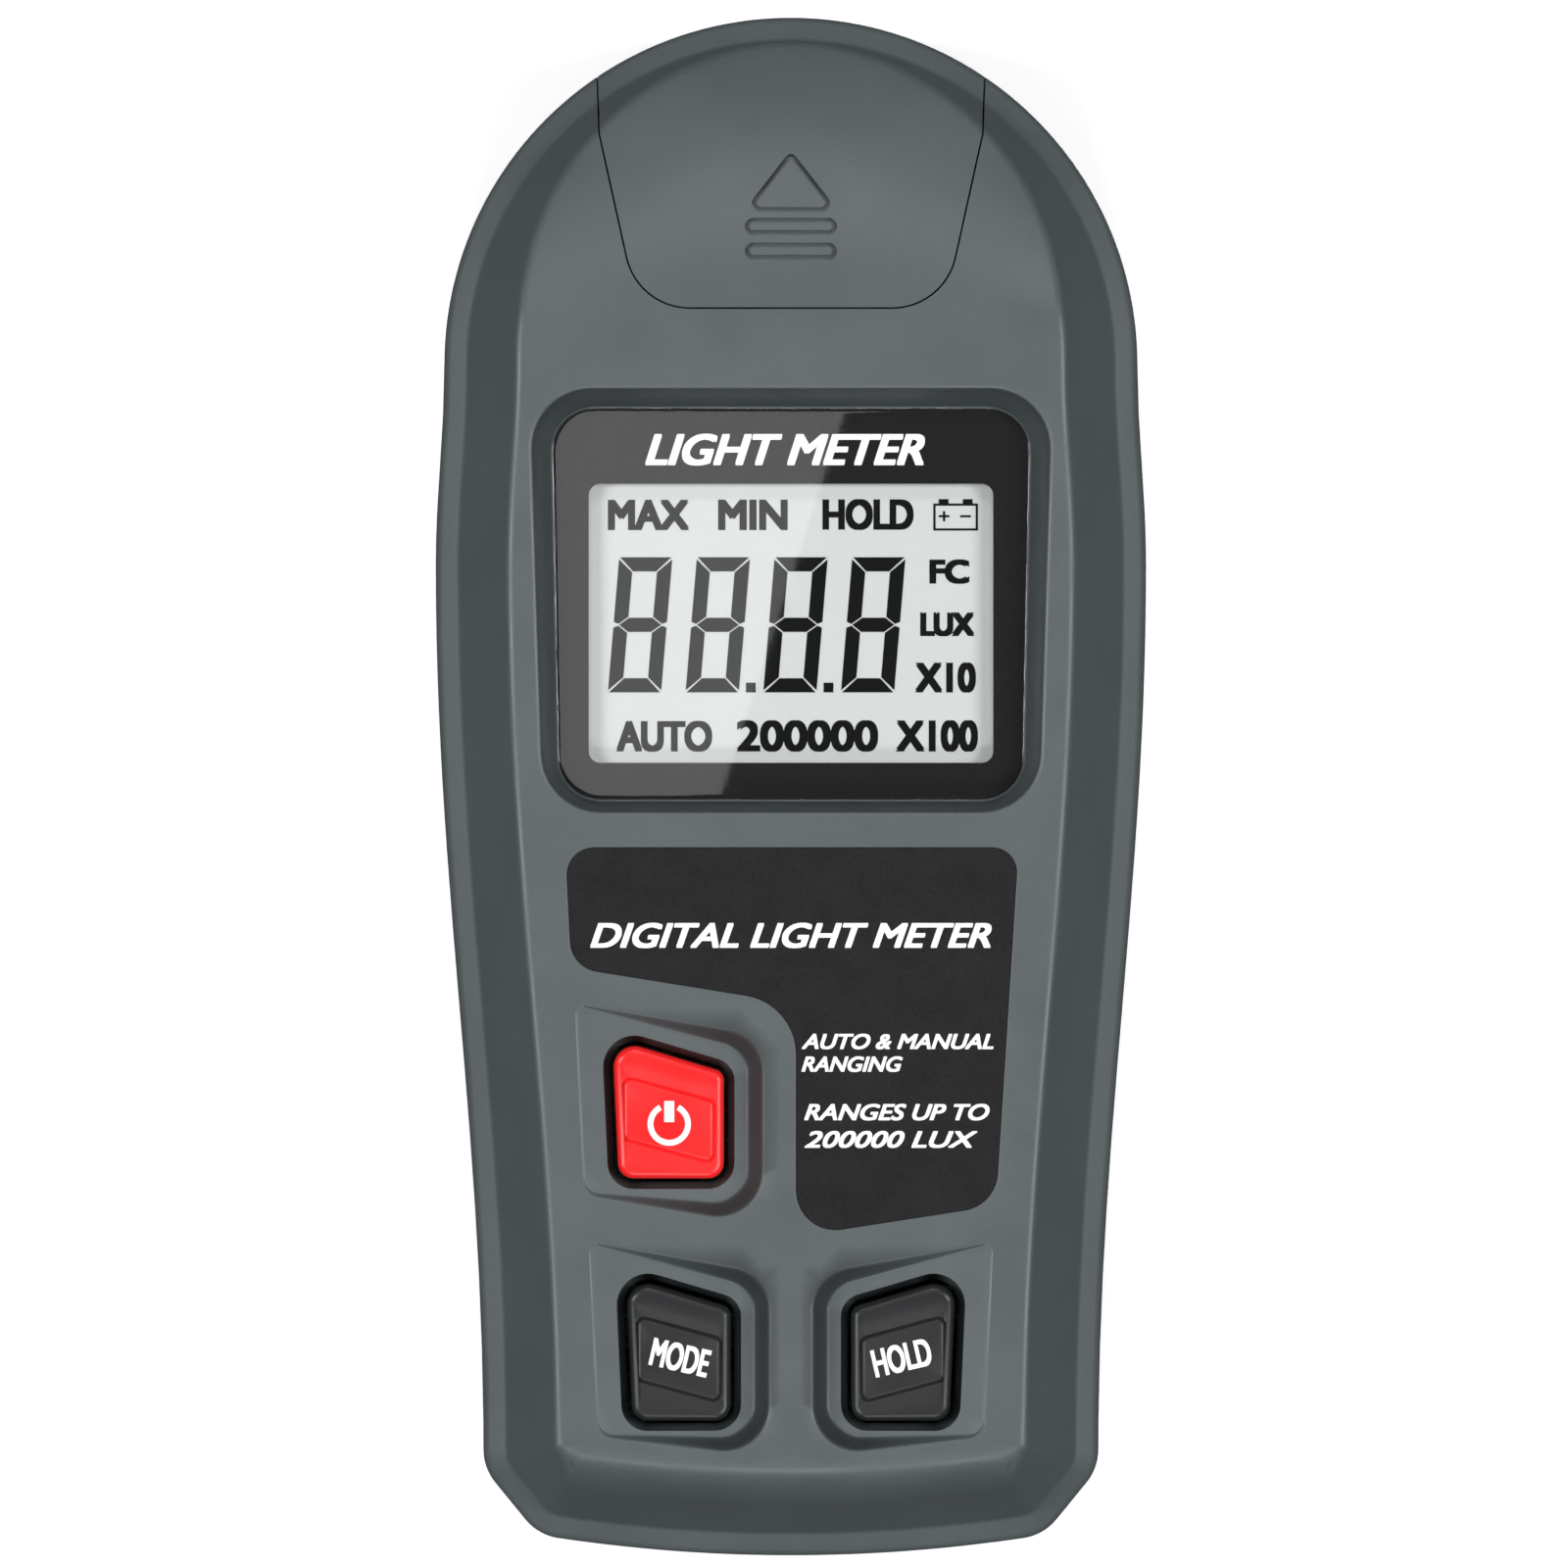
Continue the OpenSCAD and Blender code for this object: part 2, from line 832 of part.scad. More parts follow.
module sensor_leads() {
    color("yellow")
        for (x = [-1.5, 1.5])
            wire([[x, 38, sensor_board_z + 0.6], [x, 32, sensor_board_z + 0.6], [x, 29, board_z - 0.2]]);
}

// ---- battery ----

function cell_x(i) = (i - 2) * cell_pitch;

// Cell with its button at the top end, or at the bottom end when turned
module battery_cell(i) {
    turned = i == 2;
    body_len = cell_len - 1;
    steel_r = 1.9;
    color("goldenrod")
        translate([cell_x(i), cell_mid_y, cell_z])
            mirror([0, turned ? 1 : 0, 0])
                translate([0, bay_high_y - contact_t - 0.3 - cell_mid_y, 0])
                    rotate([90, 0, 0]) {
                        cylinder(r = steel_r, h = 2);
                        translate([0, 0, 1])
                            cylinder(r = cell_radius, h = body_len);
                    }
}

module battery_cell_1() { battery_cell(1); }
module battery_cell_2() { battery_cell(2); }
module battery_cell_3() { battery_cell(3); }

// Two bridging plates, and two end plates with a tab up to the board
module contact_plates() {
    color("silver")
        for (end = [0, 1])
            translate([0, cell_mid_y, 0])
                rotate([0, 0, 180 * end])
                    translate([0, -cell_mid_y, 0]) {
                        box([-4.4, bay_high_y - contact_t, 3.5],
                            [cell_pitch + 4.4, bay_high_y, 12]);
                        box([-cell_pitch - 4.4, bay_high_y - contact_t, 3.5],
                            [-cell_pitch + 4.4, bay_high_y, 12]);
                        box([-cell_pitch - 1.4, bay_high_y - contact_t, 11],
                            [-cell_pitch + 1.4, bay_high_y, bay_roof_z + 1.6]);
                    }
}

// Coil spring from a contact plate to the flat end of a cell
module contact_spring() {
    turns = 4;
    steps = 12;
    sides = 6;
    r = 0.3;
    length = bay_high_y - bay_low_y - 2 * contact_t - cell_len - 0.9;
    function ring(i) = let (a = 360 * i / steps, coil_r = spring_radius - 0.12 * i / steps)
        [for (k = [0:sides - 1]) let (b = 360 * k / sides)
            [(coil_r + r * cos(b)) * cos(a), (coil_r + r * cos(b)) * sin(a),
                r + (length - 2 * r) * i / (turns * steps) - r * sin(b)]];
    through_rings([for (i = [0:turns * steps]) ring(i)]);
}

module contact_springs() {
    color("silver")
        for (i = [1:3])
            translate([cell_x(i), cell_mid_y, cell_z])
                mirror([0, i == 2 ? 1 : 0, 0])
                    translate([0, bay_low_y + contact_t + 0.05 - cell_mid_y, 0])
                        rotate([-90, 0, 0])
                            contact_spring();
}

module battery_leads() {
    lead_z = bay_roof_z + 1.4;
    color("red")
        wire([[-cell_pitch, bay_high_y + wire_r, lead_z], [-cell_pitch, bay_high_y + 4, lead_z],
            [-cell_pitch, bay_high_y + 5, board_z - 0.2]]);
    color("black")
        wire([[cell_pitch, bay_low_y + contact_t + wire_r, lead_z],
            [cell_pitch, bay_low_y + contact_t + 4, lead_z],
            [cell_pitch, bay_low_y + contact_t + 5, board_z - 0.2]]);
}

front_case();
rear_case();
sensor_cap();
display_window();
front_label();
lcd_panel();
lcd_holder();
lcd_connectors();
main_board();
power_key();
mode_key();
hold_key();
power_switch();
mode_switch();
hold_switch();
power_plunger();
mode_plunger();
hold_plunger();
controller_chip();
timing_crystal();
board_parts();
sensor_dome();
dome_ring();
filter_glass();
photodiode();
sensor_board();
sensor_leads();
battery_cell_1();
battery_cell_2();
battery_cell_3();
contact_plates();
contact_springs();
battery_leads();
battery_door();
case_screws();
board_screws();
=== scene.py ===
import math

import bpy
import bmesh
import numpy as np
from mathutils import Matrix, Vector
from mathutils.geometry import delaunay_2d_cdt


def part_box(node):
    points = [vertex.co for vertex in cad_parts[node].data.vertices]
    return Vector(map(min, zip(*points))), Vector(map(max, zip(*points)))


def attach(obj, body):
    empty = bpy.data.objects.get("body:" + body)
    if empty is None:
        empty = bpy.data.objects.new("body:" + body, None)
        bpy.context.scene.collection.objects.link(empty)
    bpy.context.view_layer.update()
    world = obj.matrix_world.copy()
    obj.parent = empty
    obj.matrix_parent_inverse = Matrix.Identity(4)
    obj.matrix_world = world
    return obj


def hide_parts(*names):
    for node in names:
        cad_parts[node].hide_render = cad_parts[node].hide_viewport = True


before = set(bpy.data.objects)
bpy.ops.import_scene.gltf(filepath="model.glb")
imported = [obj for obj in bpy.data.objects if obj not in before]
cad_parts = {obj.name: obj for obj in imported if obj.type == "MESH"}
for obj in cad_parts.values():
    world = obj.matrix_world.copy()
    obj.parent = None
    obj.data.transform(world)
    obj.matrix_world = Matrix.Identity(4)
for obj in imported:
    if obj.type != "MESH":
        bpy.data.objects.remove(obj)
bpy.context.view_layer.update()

# Lengths below are in millimetres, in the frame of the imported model.
MM = 0.001


def box_mm(node):
    """Lowest and highest corner of a CAD node."""
    low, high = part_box(node)
    return Vector(low) / MM, Vector(high) / MM


# ---- driving dimensions, from the frame ----

CASE_LOW, CASE_HIGH = box_mm("rear_case")
CAP_LOW = box_mm("sensor_cap")[0]
PLATE_LOW, PLATE_HIGH = box_mm("display_window")
LABEL_LOW, LABEL_HIGH = box_mm("front_label")
LCD_LOW, LCD_HIGH = box_mm("lcd_panel")
DOME_LOW, DOME_HIGH = box_mm("sensor_dome")
CAD_KEY_TOP = box_mm("power_key")[1]
FACE_Z = LABEL_HIGH.z + 0.05
PART_Z = CAP_LOW.z - 0.1
TOP_Y, FOOT_Y = CASE_HIGH.y, CASE_LOW.y
WAIST_HALF_W = CASE_HIGH.x
WALL = 2.0
DECK_Z = DOME_LOW.z
DOME_Y = (DOME_LOW.y + DOME_HIGH.y) / 2
CAP_LOW_Y = CAP_LOW.y - 0.15

# case outline in plan
TOP_RADIUS = 26.6
TOP_CENTRE_Y = TOP_Y - TOP_RADIUS
WAIST_Y = 17.0
FOOT_HALF_W = 23.6
FOOT_ARC_RADIUS = 121.0
FOOT_ARC_CENTRE_Y = FOOT_Y + FOOT_ARC_RADIUS
FOOT_CORNER = Vector((19.4, FOOT_Y + 1.56))
FOOT_SHOULDER = Vector((FOOT_HALF_W, FOOT_Y + 6.7))
FOOT_ROUND = 4.0
FOOT_SLOPE = Vector((3, 0.46))
SIDE_LOW_Y = -48.6
SIDE_TAPER_LENGTH = 68

# face, seen from the side
CROWN_START_Y = 32.0
CROWN_RADIUS = 39.0
CROWN_BULGE = 0.0004
CROWN_BULGE_Y, CROWN_BULGE_END = 36.0, 48.0
ROLL_START = 7.7

# side of the front case above the parting line: an upright wall, a light bevel, a leaning chamfer
BAND_LOW, BAND_TOP = 3.8, 4.8
BAND_LOW_INSET, BAND_INSET = 0.15, 1.9
SIDE_TOP = FACE_Z - PART_Z + 0.5
SIDE_INSET = 5.9
RIDGE_ROUND, RIDGE_ROUND_LOW = 0.55, 0.25
RIDGE_FOOT_EXTRA, RIDGE_FOOT_Y = 0.2, -47
PARTING_BEVEL = 0.22

# window recess
RECESS_LOW_Y, RECESS_HIGH_Y, RECESS_HALF_W = PLATE_LOW.y - 0.9, PLATE_HIGH.y + 1.4, 19.9
APERTURE_GROW = 0.8
LCD_HALF_W = 15.4
LCD_LOW_Y, LCD_HIGH_Y = LCD_LOW.y + 2.4, LCD_HIGH.y - 2.4

# keys: inner bottom corner, size, and how far the thumb pocket reaches below
POWER = dict(at=Vector((-5.1, -29.8)), size=Vector((8.5, 10.65)), skirt=3.7)
MODE = dict(at=Vector((-4.6, -48.2)), size=Vector((7.95, 10.95)), skirt=2.9)
KEYS_AND_SIDES = ((POWER, 1), (MODE, 1), (MODE, -1))
KEY_LEAN = 0.5  # how much narrower a key is at its foot
KEY_SLANT = 0.3  # fall of its top edge, as a share of its width
WELL_GAP = 0.8
KEY_GAP = 0.3
WELL_STEP_Z = FACE_Z - 3.4
POCKET_DEPTH = 1.9
POCKET_WALL = 1.45
POCKET_OUTER, POCKET_INNER = 2.9, 3.1
BLIND_Z = 22.5
KEY_TOP = CAD_KEY_TOP.z


# ---- outlines in plan ----

def left_of(v):
    return Vector((-v.y, v.x))


def polar(t, r):
    return Vector((math.cos(t), math.sin(t))) * r


def shifted_corner(a, b, c, d):
    """Corner b of the path a-b-c, moved so that both edges shift left by d."""
    n1, n2 = left_of((b - a).normalized()), left_of((c - b).normalized())
    return b + (n1 + n2) * d / (1 + n1.dot(n2))


def corner_round(a, b, c, r, steps):
    """Points of a round of radius r at corner b of the path a-b-c."""
    u, v = (a - b).normalized(), (c - b).normalized()
    half = math.acos(max(-1, min(1, u.dot(v)))) / 2
    centre = b + (u + v).normalized() * r / math.sin(half)
    p, q = b + u * r / math.tan(half) - centre, b + v * r / math.tan(half) - centre
    start, turn = math.atan2(p.y, p.x), math.atan2(p.x * q.y - p.y * q.x, p.dot(q))
    return [centre + polar(start + turn * i / steps, r) for i in range(steps + 1)]


def grown(corners, d):
    """Closed anticlockwise outline, moved outwards by d."""
    n = len(corners)
    return [shifted_corner(corners[i - 1], corners[i], corners[(i + 1) % n], -d) for i in range(n)]


def rounded(corners, d, radii, steps=10):
    """Closed anticlockwise outline, moved outwards by d, with a round at each corner."""
    corners = grown([Vector(p) for p in corners], d)
    n = len(corners)
    points = []
    for i, r in enumerate(radii):
        points += corner_round(corners[i - 1], corners[i], corners[(i + 1) % n], max(r, 0.02), steps)
    return points


def case_half_w(y):
    """Half-width of the case above its foot."""
    if y < WAIST_Y:
        middle, swing = (WAIST_HALF_W + FOOT_HALF_W) / 2, (WAIST_HALF_W - FOOT_HALF_W) / 2
        return middle + swing * math.cos(math.pi * (WAIST_Y - y) / SIDE_TAPER_LENGTH)
    middle, swing = (WAIST_HALF_W + TOP_RADIUS) / 2, (WAIST_HALF_W - TOP_RADIUS) / 2
    return middle + swing * math.cos(math.pi * (y - WAIST_Y) / (TOP_CENTRE_Y - WAIST_Y))


def case_outline(d):
    """Whole case outline, anticlockwise from the foot's middle, moved inwards by d."""
    round_r = max(FOOT_ROUND - d, 0.8)
    low = shifted_corner(FOOT_CORNER - FOOT_SLOPE, FOOT_CORNER, FOOT_SHOULDER, d)
    high = shifted_corner(FOOT_CORNER, FOOT_SHOULDER, FOOT_SHOULDER + Vector((0, 5)), d)
    low_round = corner_round(low - FOOT_SLOPE, low, high, round_r, 10)
    high_round = corner_round(low, high, high + Vector((0, 5)), round_r, 10)
    arc_r, foot_end = FOOT_ARC_RADIUS - d, low_round[0].x
    half = []
    for i in range(16):
        x = foot_end * i / 16
        half.append(Vector((x, FOOT_ARC_CENTRE_Y - math.sqrt(arc_r * arc_r - x * x))))
    half += low_round + high_round
    for low_y, high_y, n in ((SIDE_LOW_Y, WAIST_Y, 40), (WAIST_Y, TOP_CENTRE_Y, 10)):
        for i in range(n):
            y = low_y + (high_y - low_y) * i / n
            half.append(Vector((case_half_w(y) - d, y)))
    half += [Vector((0, TOP_CENTRE_Y)) + polar(math.pi / 2 * i / 48, TOP_RADIUS - d) for i in range(49)]
    return half + [Vector((-p.x, p.y)) for p in half[-2:0:-1]]


def cap_outline(d):
    """Seam of the sensor cap, running past the top end."""
    low, bend, high = (11.7, CAP_LOW_Y), (14.7, 49.8), (15.25, 62)
    corners = [low, bend, high, (-high[0], high[1]), (-bend[0], bend[1]), (-low[0], low[1])]
    return rounded(corners, d, [5 + d, 0.5, 0.5, 0.5, 0.5, 5 + d], 12)


def label_outline(d):
    corners = [(-17.15, -4.63), (-16.7, -13.75), (0.38, -16.5),
               (0.38, -34.2), (15.57, -31.85), (17.3, -4.63)]
    radii = [2.1 + d, 2.4 + d, 4.5 - d, 3 + d, 3 + d, 1.9 + d]
    return rounded(corners, d, radii)


def window_corners(low_y, high_y, half_w, taper):
    return [(half_w - taper, low_y), (half_w, high_y), (-half_w, high_y), (taper - half_w, low_y)]


def recess_outline(d):
    corners = window_corners(RECESS_LOW_Y, RECESS_HIGH_Y, RECESS_HALF_W, 1)
    return rounded(corners, d, [4.6 + d] * 4)


def plate_outline(d):
    corners = window_corners(PLATE_LOW.y, PLATE_HIGH.y, PLATE_HIGH.x, 0.6)
    return rounded(corners, d, [3.4 + d] * 4)


def lcd_outline(d):
    corners = window_corners(LCD_LOW_Y, LCD_HIGH_Y, LCD_HALF_W, 0)
    return rounded(corners, d, [0.9 + max(d, -0.8)] * 4)


def key_outline(key, d):
    at, size = key["at"], key["size"]
    corners = [at + Vector((KEY_LEAN - size.x, 0)), at, at + Vector((0, size.y - KEY_SLANT * size.x)),
               at + Vector((-size.x, size.y))]
    return rounded(corners, d, [1.2 + d, 1.2 + d, 0.9 + d, 1.6 + d])


def pocket_outline(key, d):
    at, size = key["at"], key["size"]
    corners = [at + Vector((-size.x - 2.2, -1.25)), at + Vector((POCKET_INNER, -key["skirt"])),
               at + Vector((POCKET_INNER, size.y + 0.3)),
               at + Vector((-size.x - POCKET_OUTER, size.y + 2.7))]
    return rounded(corners, d, [1.5 + d, 3.6 + d, 3.4 + d, 0.6 + d], 12)


def pocket_sink(key, x):
    """How far the tilted floor of a key's thumb pocket lies below the face."""
    outer, inner = key["at"].x - key["size"].x - POCKET_OUTER, key["at"].x + POCKET_INNER
    return POCKET_DEPTH * min(1, max(0, (x - outer) / (inner - outer)))


# ---- heights ----

def face_height(x, y, drop=0.0):
    """Height of the front face, which is domed at the top end and rolls down at the foot."""
    z = FACE_Z - drop
    if y > CROWN_START_Y:
        reach = min(y - CROWN_START_Y, CROWN_RADIUS - 1)
        z += math.sqrt(CROWN_RADIUS ** 2 - reach ** 2) - CROWN_RADIUS
        return z - CROWN_BULGE * max(0, min(y, CROWN_BULGE_END) - CROWN_BULGE_Y) * x * x
    inset = FOOT_ARC_RADIUS - math.hypot(x, y - FOOT_ARC_CENTRE_Y)
    if inset < ROLL_START:
        share = min((ROLL_START - inset) / (ROLL_START - BAND_INSET), 1)
        return z - (FACE_Z - PART_Z - BAND_TOP) * share ** 2
    return z


def side_inset(h):
    """Inset of the case side at height h above the parting line."""
    if h < BAND_LOW:
        return BAND_LOW_INSET * h / BAND_LOW
    if h < BAND_TOP:
        return BAND_LOW_INSET + (BAND_INSET - BAND_LOW_INSET) * (h - BAND_LOW) / (BAND_TOP - BAND_LOW)
    return BAND_INSET + (SIDE_INSET - BAND_INSET) * (h - BAND_TOP) / (SIDE_TOP - BAND_TOP)


# ---- mesh building ----

def placed(name, data):
    """A new object in the scene."""
    obj = bpy.data.objects.new(name, data)
    bpy.context.scene.collection.objects.link(obj)
    return obj


class Shell:
    """Collects points and faces, and welds them into one mesh."""

    def __init__(self):
        self.points, self.faces = [], []

    def loop(self, points):
        first = len(self.points)
        self.points += [tuple(p) for p in points]
        return list(range(first, len(self.points)))

    def strip(self, a, b, closed=True):
        """Quads between two loops of the same length."""
        n = len(a)
        for i in range(n if closed else n - 1):
            j = (i + 1) % n
            self.faces.append((a[i], a[j], b[j], b[i]))

    def rows(self, loops):
        """Strips through several loops; gives back the first and the last."""
        ids = [self.loop(points) for points in loops]
        for a, b in zip(ids, ids[1:]):
            self.strip(a, b)
        return ids[0], ids[-1]

    def cap(self, ids):
        self.faces.append(tuple(ids))

    def closed(self, loops):
        """Rows with both ends capped."""
        for ids in self.rows(loops):
            self.cap(ids)

    def patch(self, outer, holes, height, spacing=None, extra=()):
        """Fills outer less its holes, all outlines in plan, lifted to height(x, y)."""
        flat = [Vector(p[:2]) for p in outer]
        rings = [flat] + [[Vector(p[:2]) for p in hole] for hole in holes]
        points, edges = [], []
        for ring in rings:
            first = len(points)
            points += ring
            edges += [(first + i, first + (i + 1) % len(ring)) for i in range(len(ring))]
        if spacing:
            points += grid_inside(rings, spacing, extra)
        found = delaunay_2d_cdt(points, edges, [], 0, 1e-5)
        verts, tris = found[0], found[2]
        middle = np.array([sum((verts[i] for i in t), Vector((0, 0))) / 3 for t in tris])
        keep = inside(middle, rings[0])
        for ring in rings[1:]:
            keep &= ~inside(middle, ring)
        ids = self.loop([(p.x, p.y, height(p.x, p.y)) for p in verts])
        self.faces += [tuple(ids[i] for i in t) for t, k in zip(tris, keep) if k]

    def object(self, name, weld=0.004):
        mesh = bpy.data.meshes.new(name)
        mesh.from_pydata([Vector(p) * MM for p in self.points], [], self.faces)
        bm = bmesh.new()
        bm.from_mesh(mesh)
        bmesh.ops.remove_doubles(bm, verts=bm.verts, dist=weld * MM)
        bmesh.ops.dissolve_degenerate(bm, edges=bm.edges, dist=weld * MM / 4)
        loose = [v for v in bm.verts if not v.link_faces]
        bmesh.ops.delete(bm, geom=loose, context="VERTS")
        bmesh.ops.recalc_face_normals(bm, faces=bm.faces)
        bm.to_mesh(mesh)
        bm.free()
        return placed(name, mesh)


def inside(points, ring):
    """Which points lie inside a closed outline."""
    x, y = points[:, 0], points[:, 1]
    result = np.zeros(len(points), bool)
    for a, b in zip(ring, ring[1:] + ring[:1]):
        crosses = (a.y > y) != (b.y > y)
        rise = b.y - a.y if b.y != a.y else 1e-12
        result ^= crosses & (x < (b.x - a.x) * (y - a.y) / rise + a.x)
    return result


def grid_inside(rings, spacing, extra=()):
    """Grid points, and extra points, inside the first ring, outside the others, clear of them all."""
    edge = np.array([tuple(p) for ring in rings for p in ring])
    low, high = edge.min(0), edge.max(0)
    xs = np.arange(low[0] + spacing / 2, high[0], spacing)
    ys = np.arange(low[1] + spacing / 2, high[1], spacing)
    chosen = []
    for points, room in ((np.array([tuple(p) for p in extra]), 0.2),
                         (np.array([(x, y) for y in ys for x in xs]), spacing * 0.45)):
        if not len(points):
            continue
        keep = inside(points, rings[0])
        for ring in rings[1:]:
            keep &= ~inside(points, ring)
        points = points[keep]
        near = np.array([np.hypot(*(edge - p).T).min() for p in points])
        points = points[near > room]
        chosen += [Vector(p) for p in points]
        edge = np.concatenate([edge, points])
    return chosen


def at_height(outline, z):
    return [(p.x, p.y, z) for p in outline]


def bend(a, b, c, steps):
    """Points along a smooth bend from a to c that keeps inside the corner b."""
    shares = [i / steps for i in range(steps + 1)]
    return [a * (1 - t) ** 2 + b * 2 * t * (1 - t) + c * t ** 2 for t in shares]


def edge_round(outline, high_z, low_grow, low_z, r, steps=4):
    """Loops that round an opening's edge from the face down its wall.

    outline(d) gives the opening grown by d, and the wall runs down to low_grow at low_z."""
    corner = Vector((0, high_z))
    wall = (Vector((low_grow, low_z)) - corner).normalized() * r
    path = bend(Vector((r, high_z)), corner, corner + wall, steps)
    return [at_height(outline(p.x), p.y) for p in path]


def prism(name, outline, z0, z1):
    shell = Shell()
    shell.closed([at_height(outline, z0), at_height(outline, z1)])
    return shell.object(name)


def block(name, low, high):
    corners = [(low[0], low[1]), (high[0], low[1]), (high[0], high[1]), (low[0], high[1])]
    return prism(name, [Vector(p) for p in corners], low[2], high[2])


def side_block(name, side, near, far, low, high):
    """A block from near to far of the middle plane on one side; low and high are its ends in y and z."""
    left, right = sorted((side * near, side * far))
    return block(name, (left, *low), (right, *high))


def disc(name, centre, r, z0, z1, steps=64):
    return prism(name, [Vector(centre) + polar(2 * math.pi * i / steps, r) for i in range(steps)], z0, z1)


def combine(obj, others, operation):
    """Booleans other solids into obj and removes them."""
    for other in others:
        modifier = obj.modifiers.new("combine", "BOOLEAN")
        modifier.operation, modifier.object, modifier.solver = operation, other, "EXACT"
        bpy.context.view_layer.update()
        made = bpy.data.meshes.new_from_object(
            obj.evaluated_get(bpy.context.evaluated_depsgraph_get()))
        obj.modifiers.clear()
        obj.data = made
        bpy.data.objects.remove(other)
    return obj


def smooth(obj, angle=32):
    """Smooth faces with sharp edges where they meet at more than angle degrees."""
    bm = bmesh.new()
    bm.from_mesh(obj.data)
    for face in bm.faces:
        face.smooth = True
    limit = math.radians(angle)
    for edge in bm.edges:
        edge.smooth = len(edge.link_faces) == 2 and edge.calc_face_angle(0) < limit
    bm.to_mesh(obj.data)
    bm.free()
    return obj


# ---- case-shaped solids ----

def side_columns(extra):
    """For each outline point, the path up the leaning case side; extra moves it all inwards."""
    heights = [PARTING_BEVEL, BAND_LOW, BAND_TOP, SIDE_TOP]
    rings = [at_height(case_outline(extra + side_inset(h)), PART_Z + h) for h in heights]
    return [[Vector(ring[i]) for ring in rings] for i in range(len(rings[0]))]


def ridge_point(column, drop):
    """Where a column meets the lowered face."""
    first = 0 if drop else 1  # the crown dips below the rim's edge at the very top
    for k in range(first, len(column) - 1):
        a, b = column[k], column[k + 1]
        if b.z > face_height(b.x, b.y, drop):
            low, high = 0.0, 1.0
            for _ in range(30):
                t = (low + high) / 2
                p = a.lerp(b, t)
                low, high = (t, high) if p.z < face_height(p.x, p.y, drop) else (low, t)
            return a.lerp(b, low)
    return column[-1]


def ridge_round(p):
    """Radius of the ridge round the face: sharp where it runs low, softest at the foot's corners."""
    rise = max(0, min(1, (p.z - PART_Z - BAND_TOP) / 2))
    at_foot = max(0, min(1, (RIDGE_FOOT_Y - p.y) / 4))
    return RIDGE_ROUND_LOW + (RIDGE_ROUND - RIDGE_ROUND_LOW) * rise + RIDGE_FOOT_EXTRA * rise * at_foot


def rounded_path(path, radii, steps=4):
    """A path of straight stretches with its inner corners rounded."""
    points = [path[0]]
    for a, b, c, r in zip(path, path[1:], path[2:], radii):
        before = min(r, (b - a).length * 0.45)
        after = min(r, (c - b).length * 0.45)
        points += bend(b + (a - b).normalized() * before, b, b + (c - b).normalized() * after, steps)
    return points + [path[-1]]


def case_blank(shell, extra=0.0, drop=0.0, side_rows=8):
    """Side of a case-shaped solid up to its rounded ridge; returns the ridge, where the face begins."""
    columns = side_columns(extra)
    crest = [ridge_point(c, drop) for c in columns]
    n = len(crest)
    paths = []
    for i, (column, peak) in enumerate(zip(columns, crest)):
        along = (crest[(i + 1) % n] - crest[i - 1]).xy.normalized()
        r = ridge_round(peak)
        q = peak.xy + left_of(along) * r
        inner = Vector((q.x, q.y, face_height(q.x, q.y, drop)))
        lower = [min(column[k], peak, key=lambda p: p.z) for k in (1, 2)]
        start = peak.lerp(lower[1], min(1, r / max((peak - lower[1]).length, r)))
        wall = rounded_path([column[0], lower[0], lower[1], start], (0.5, 0.25))
        slope = wall[-1]
        paths.append(wall[:-1] + [slope.lerp(start, k / side_rows) for k in range(side_rows)]
                     + bend(start, peak, inner, 6))
    loops = [at_height(case_outline(extra + PARTING_BEVEL), PART_Z)]
    loops += [[path[k] for path in paths] for k in range(len(paths[0]))]
    foot, _ = shell.rows(loops)
    shell.cap(foot)
    return loops[-1]


def roll_points():
    """Extra points of the face where it rolls down at the foot."""
    points = []
    for k in range(1, 13):
        r = FOOT_ARC_RADIUS - ROLL_START + (ROLL_START - BAND_INSET) * k / 12
        for i in range(-44, 45):
            x = i * 0.5
            points.append(Vector((x, FOOT_ARC_CENTRE_Y - math.sqrt(r * r - x * x))))
    return points


# ---- front case ----

FACE_SPACING = 1.5
RECESS_ROUND = 0.3
LABEL_ROUND = 0.1
LABEL_DEPTH = 0.25


def ease(t):
    """Share of a drop that starts and ends level."""
    return t * t * (3 - 2 * t)


def pocket_loops(key, steps=8):
    """Loops down the sloped wall of a key's thumb pocket, from the face to its tilted floor."""
    rim, floor = pocket_outline(key, 0), pocket_outline(key, -POCKET_WALL)
    loops = []
    for k in range(steps + 1):
        t = k / steps
        loop = []
        for a, b in zip(rim, floor):
            p = a.lerp(b, t * min(1, 0.12 + pocket_sink(key, a.x) / POCKET_DEPTH))
            loop.append((p.x, p.y, FACE_Z - pocket_sink(key, p.x) * ease(t)))
        loops.append(loop)
    return loops


def well_loops(key):
    """Loops from the pocket's floor down the funnel around a key, to a blind end."""
    top = key_outline(key, WELL_GAP)
    step = key_outline(key, KEY_GAP)
    loops = []
    for t in (0, 0.08, 0.2, 0.6, 1):
        loop = []
        for a, b in zip(top, step):
            high = FACE_Z - pocket_sink(key, a.x)
            p = a.lerp(b, t * t)
            loop.append((p.x, p.y, high + (WELL_STEP_Z - high) * t))
        loops.append(loop)
    return loops + [at_height(step, BLIND_Z)]


def flipped(loops, side):
    """Loops as they are, or as their mirror image on the other side."""
    if side > 0:
        return loops
    return [[(-x, y, z) for x, y, z in reversed(loop)] for loop in loops]


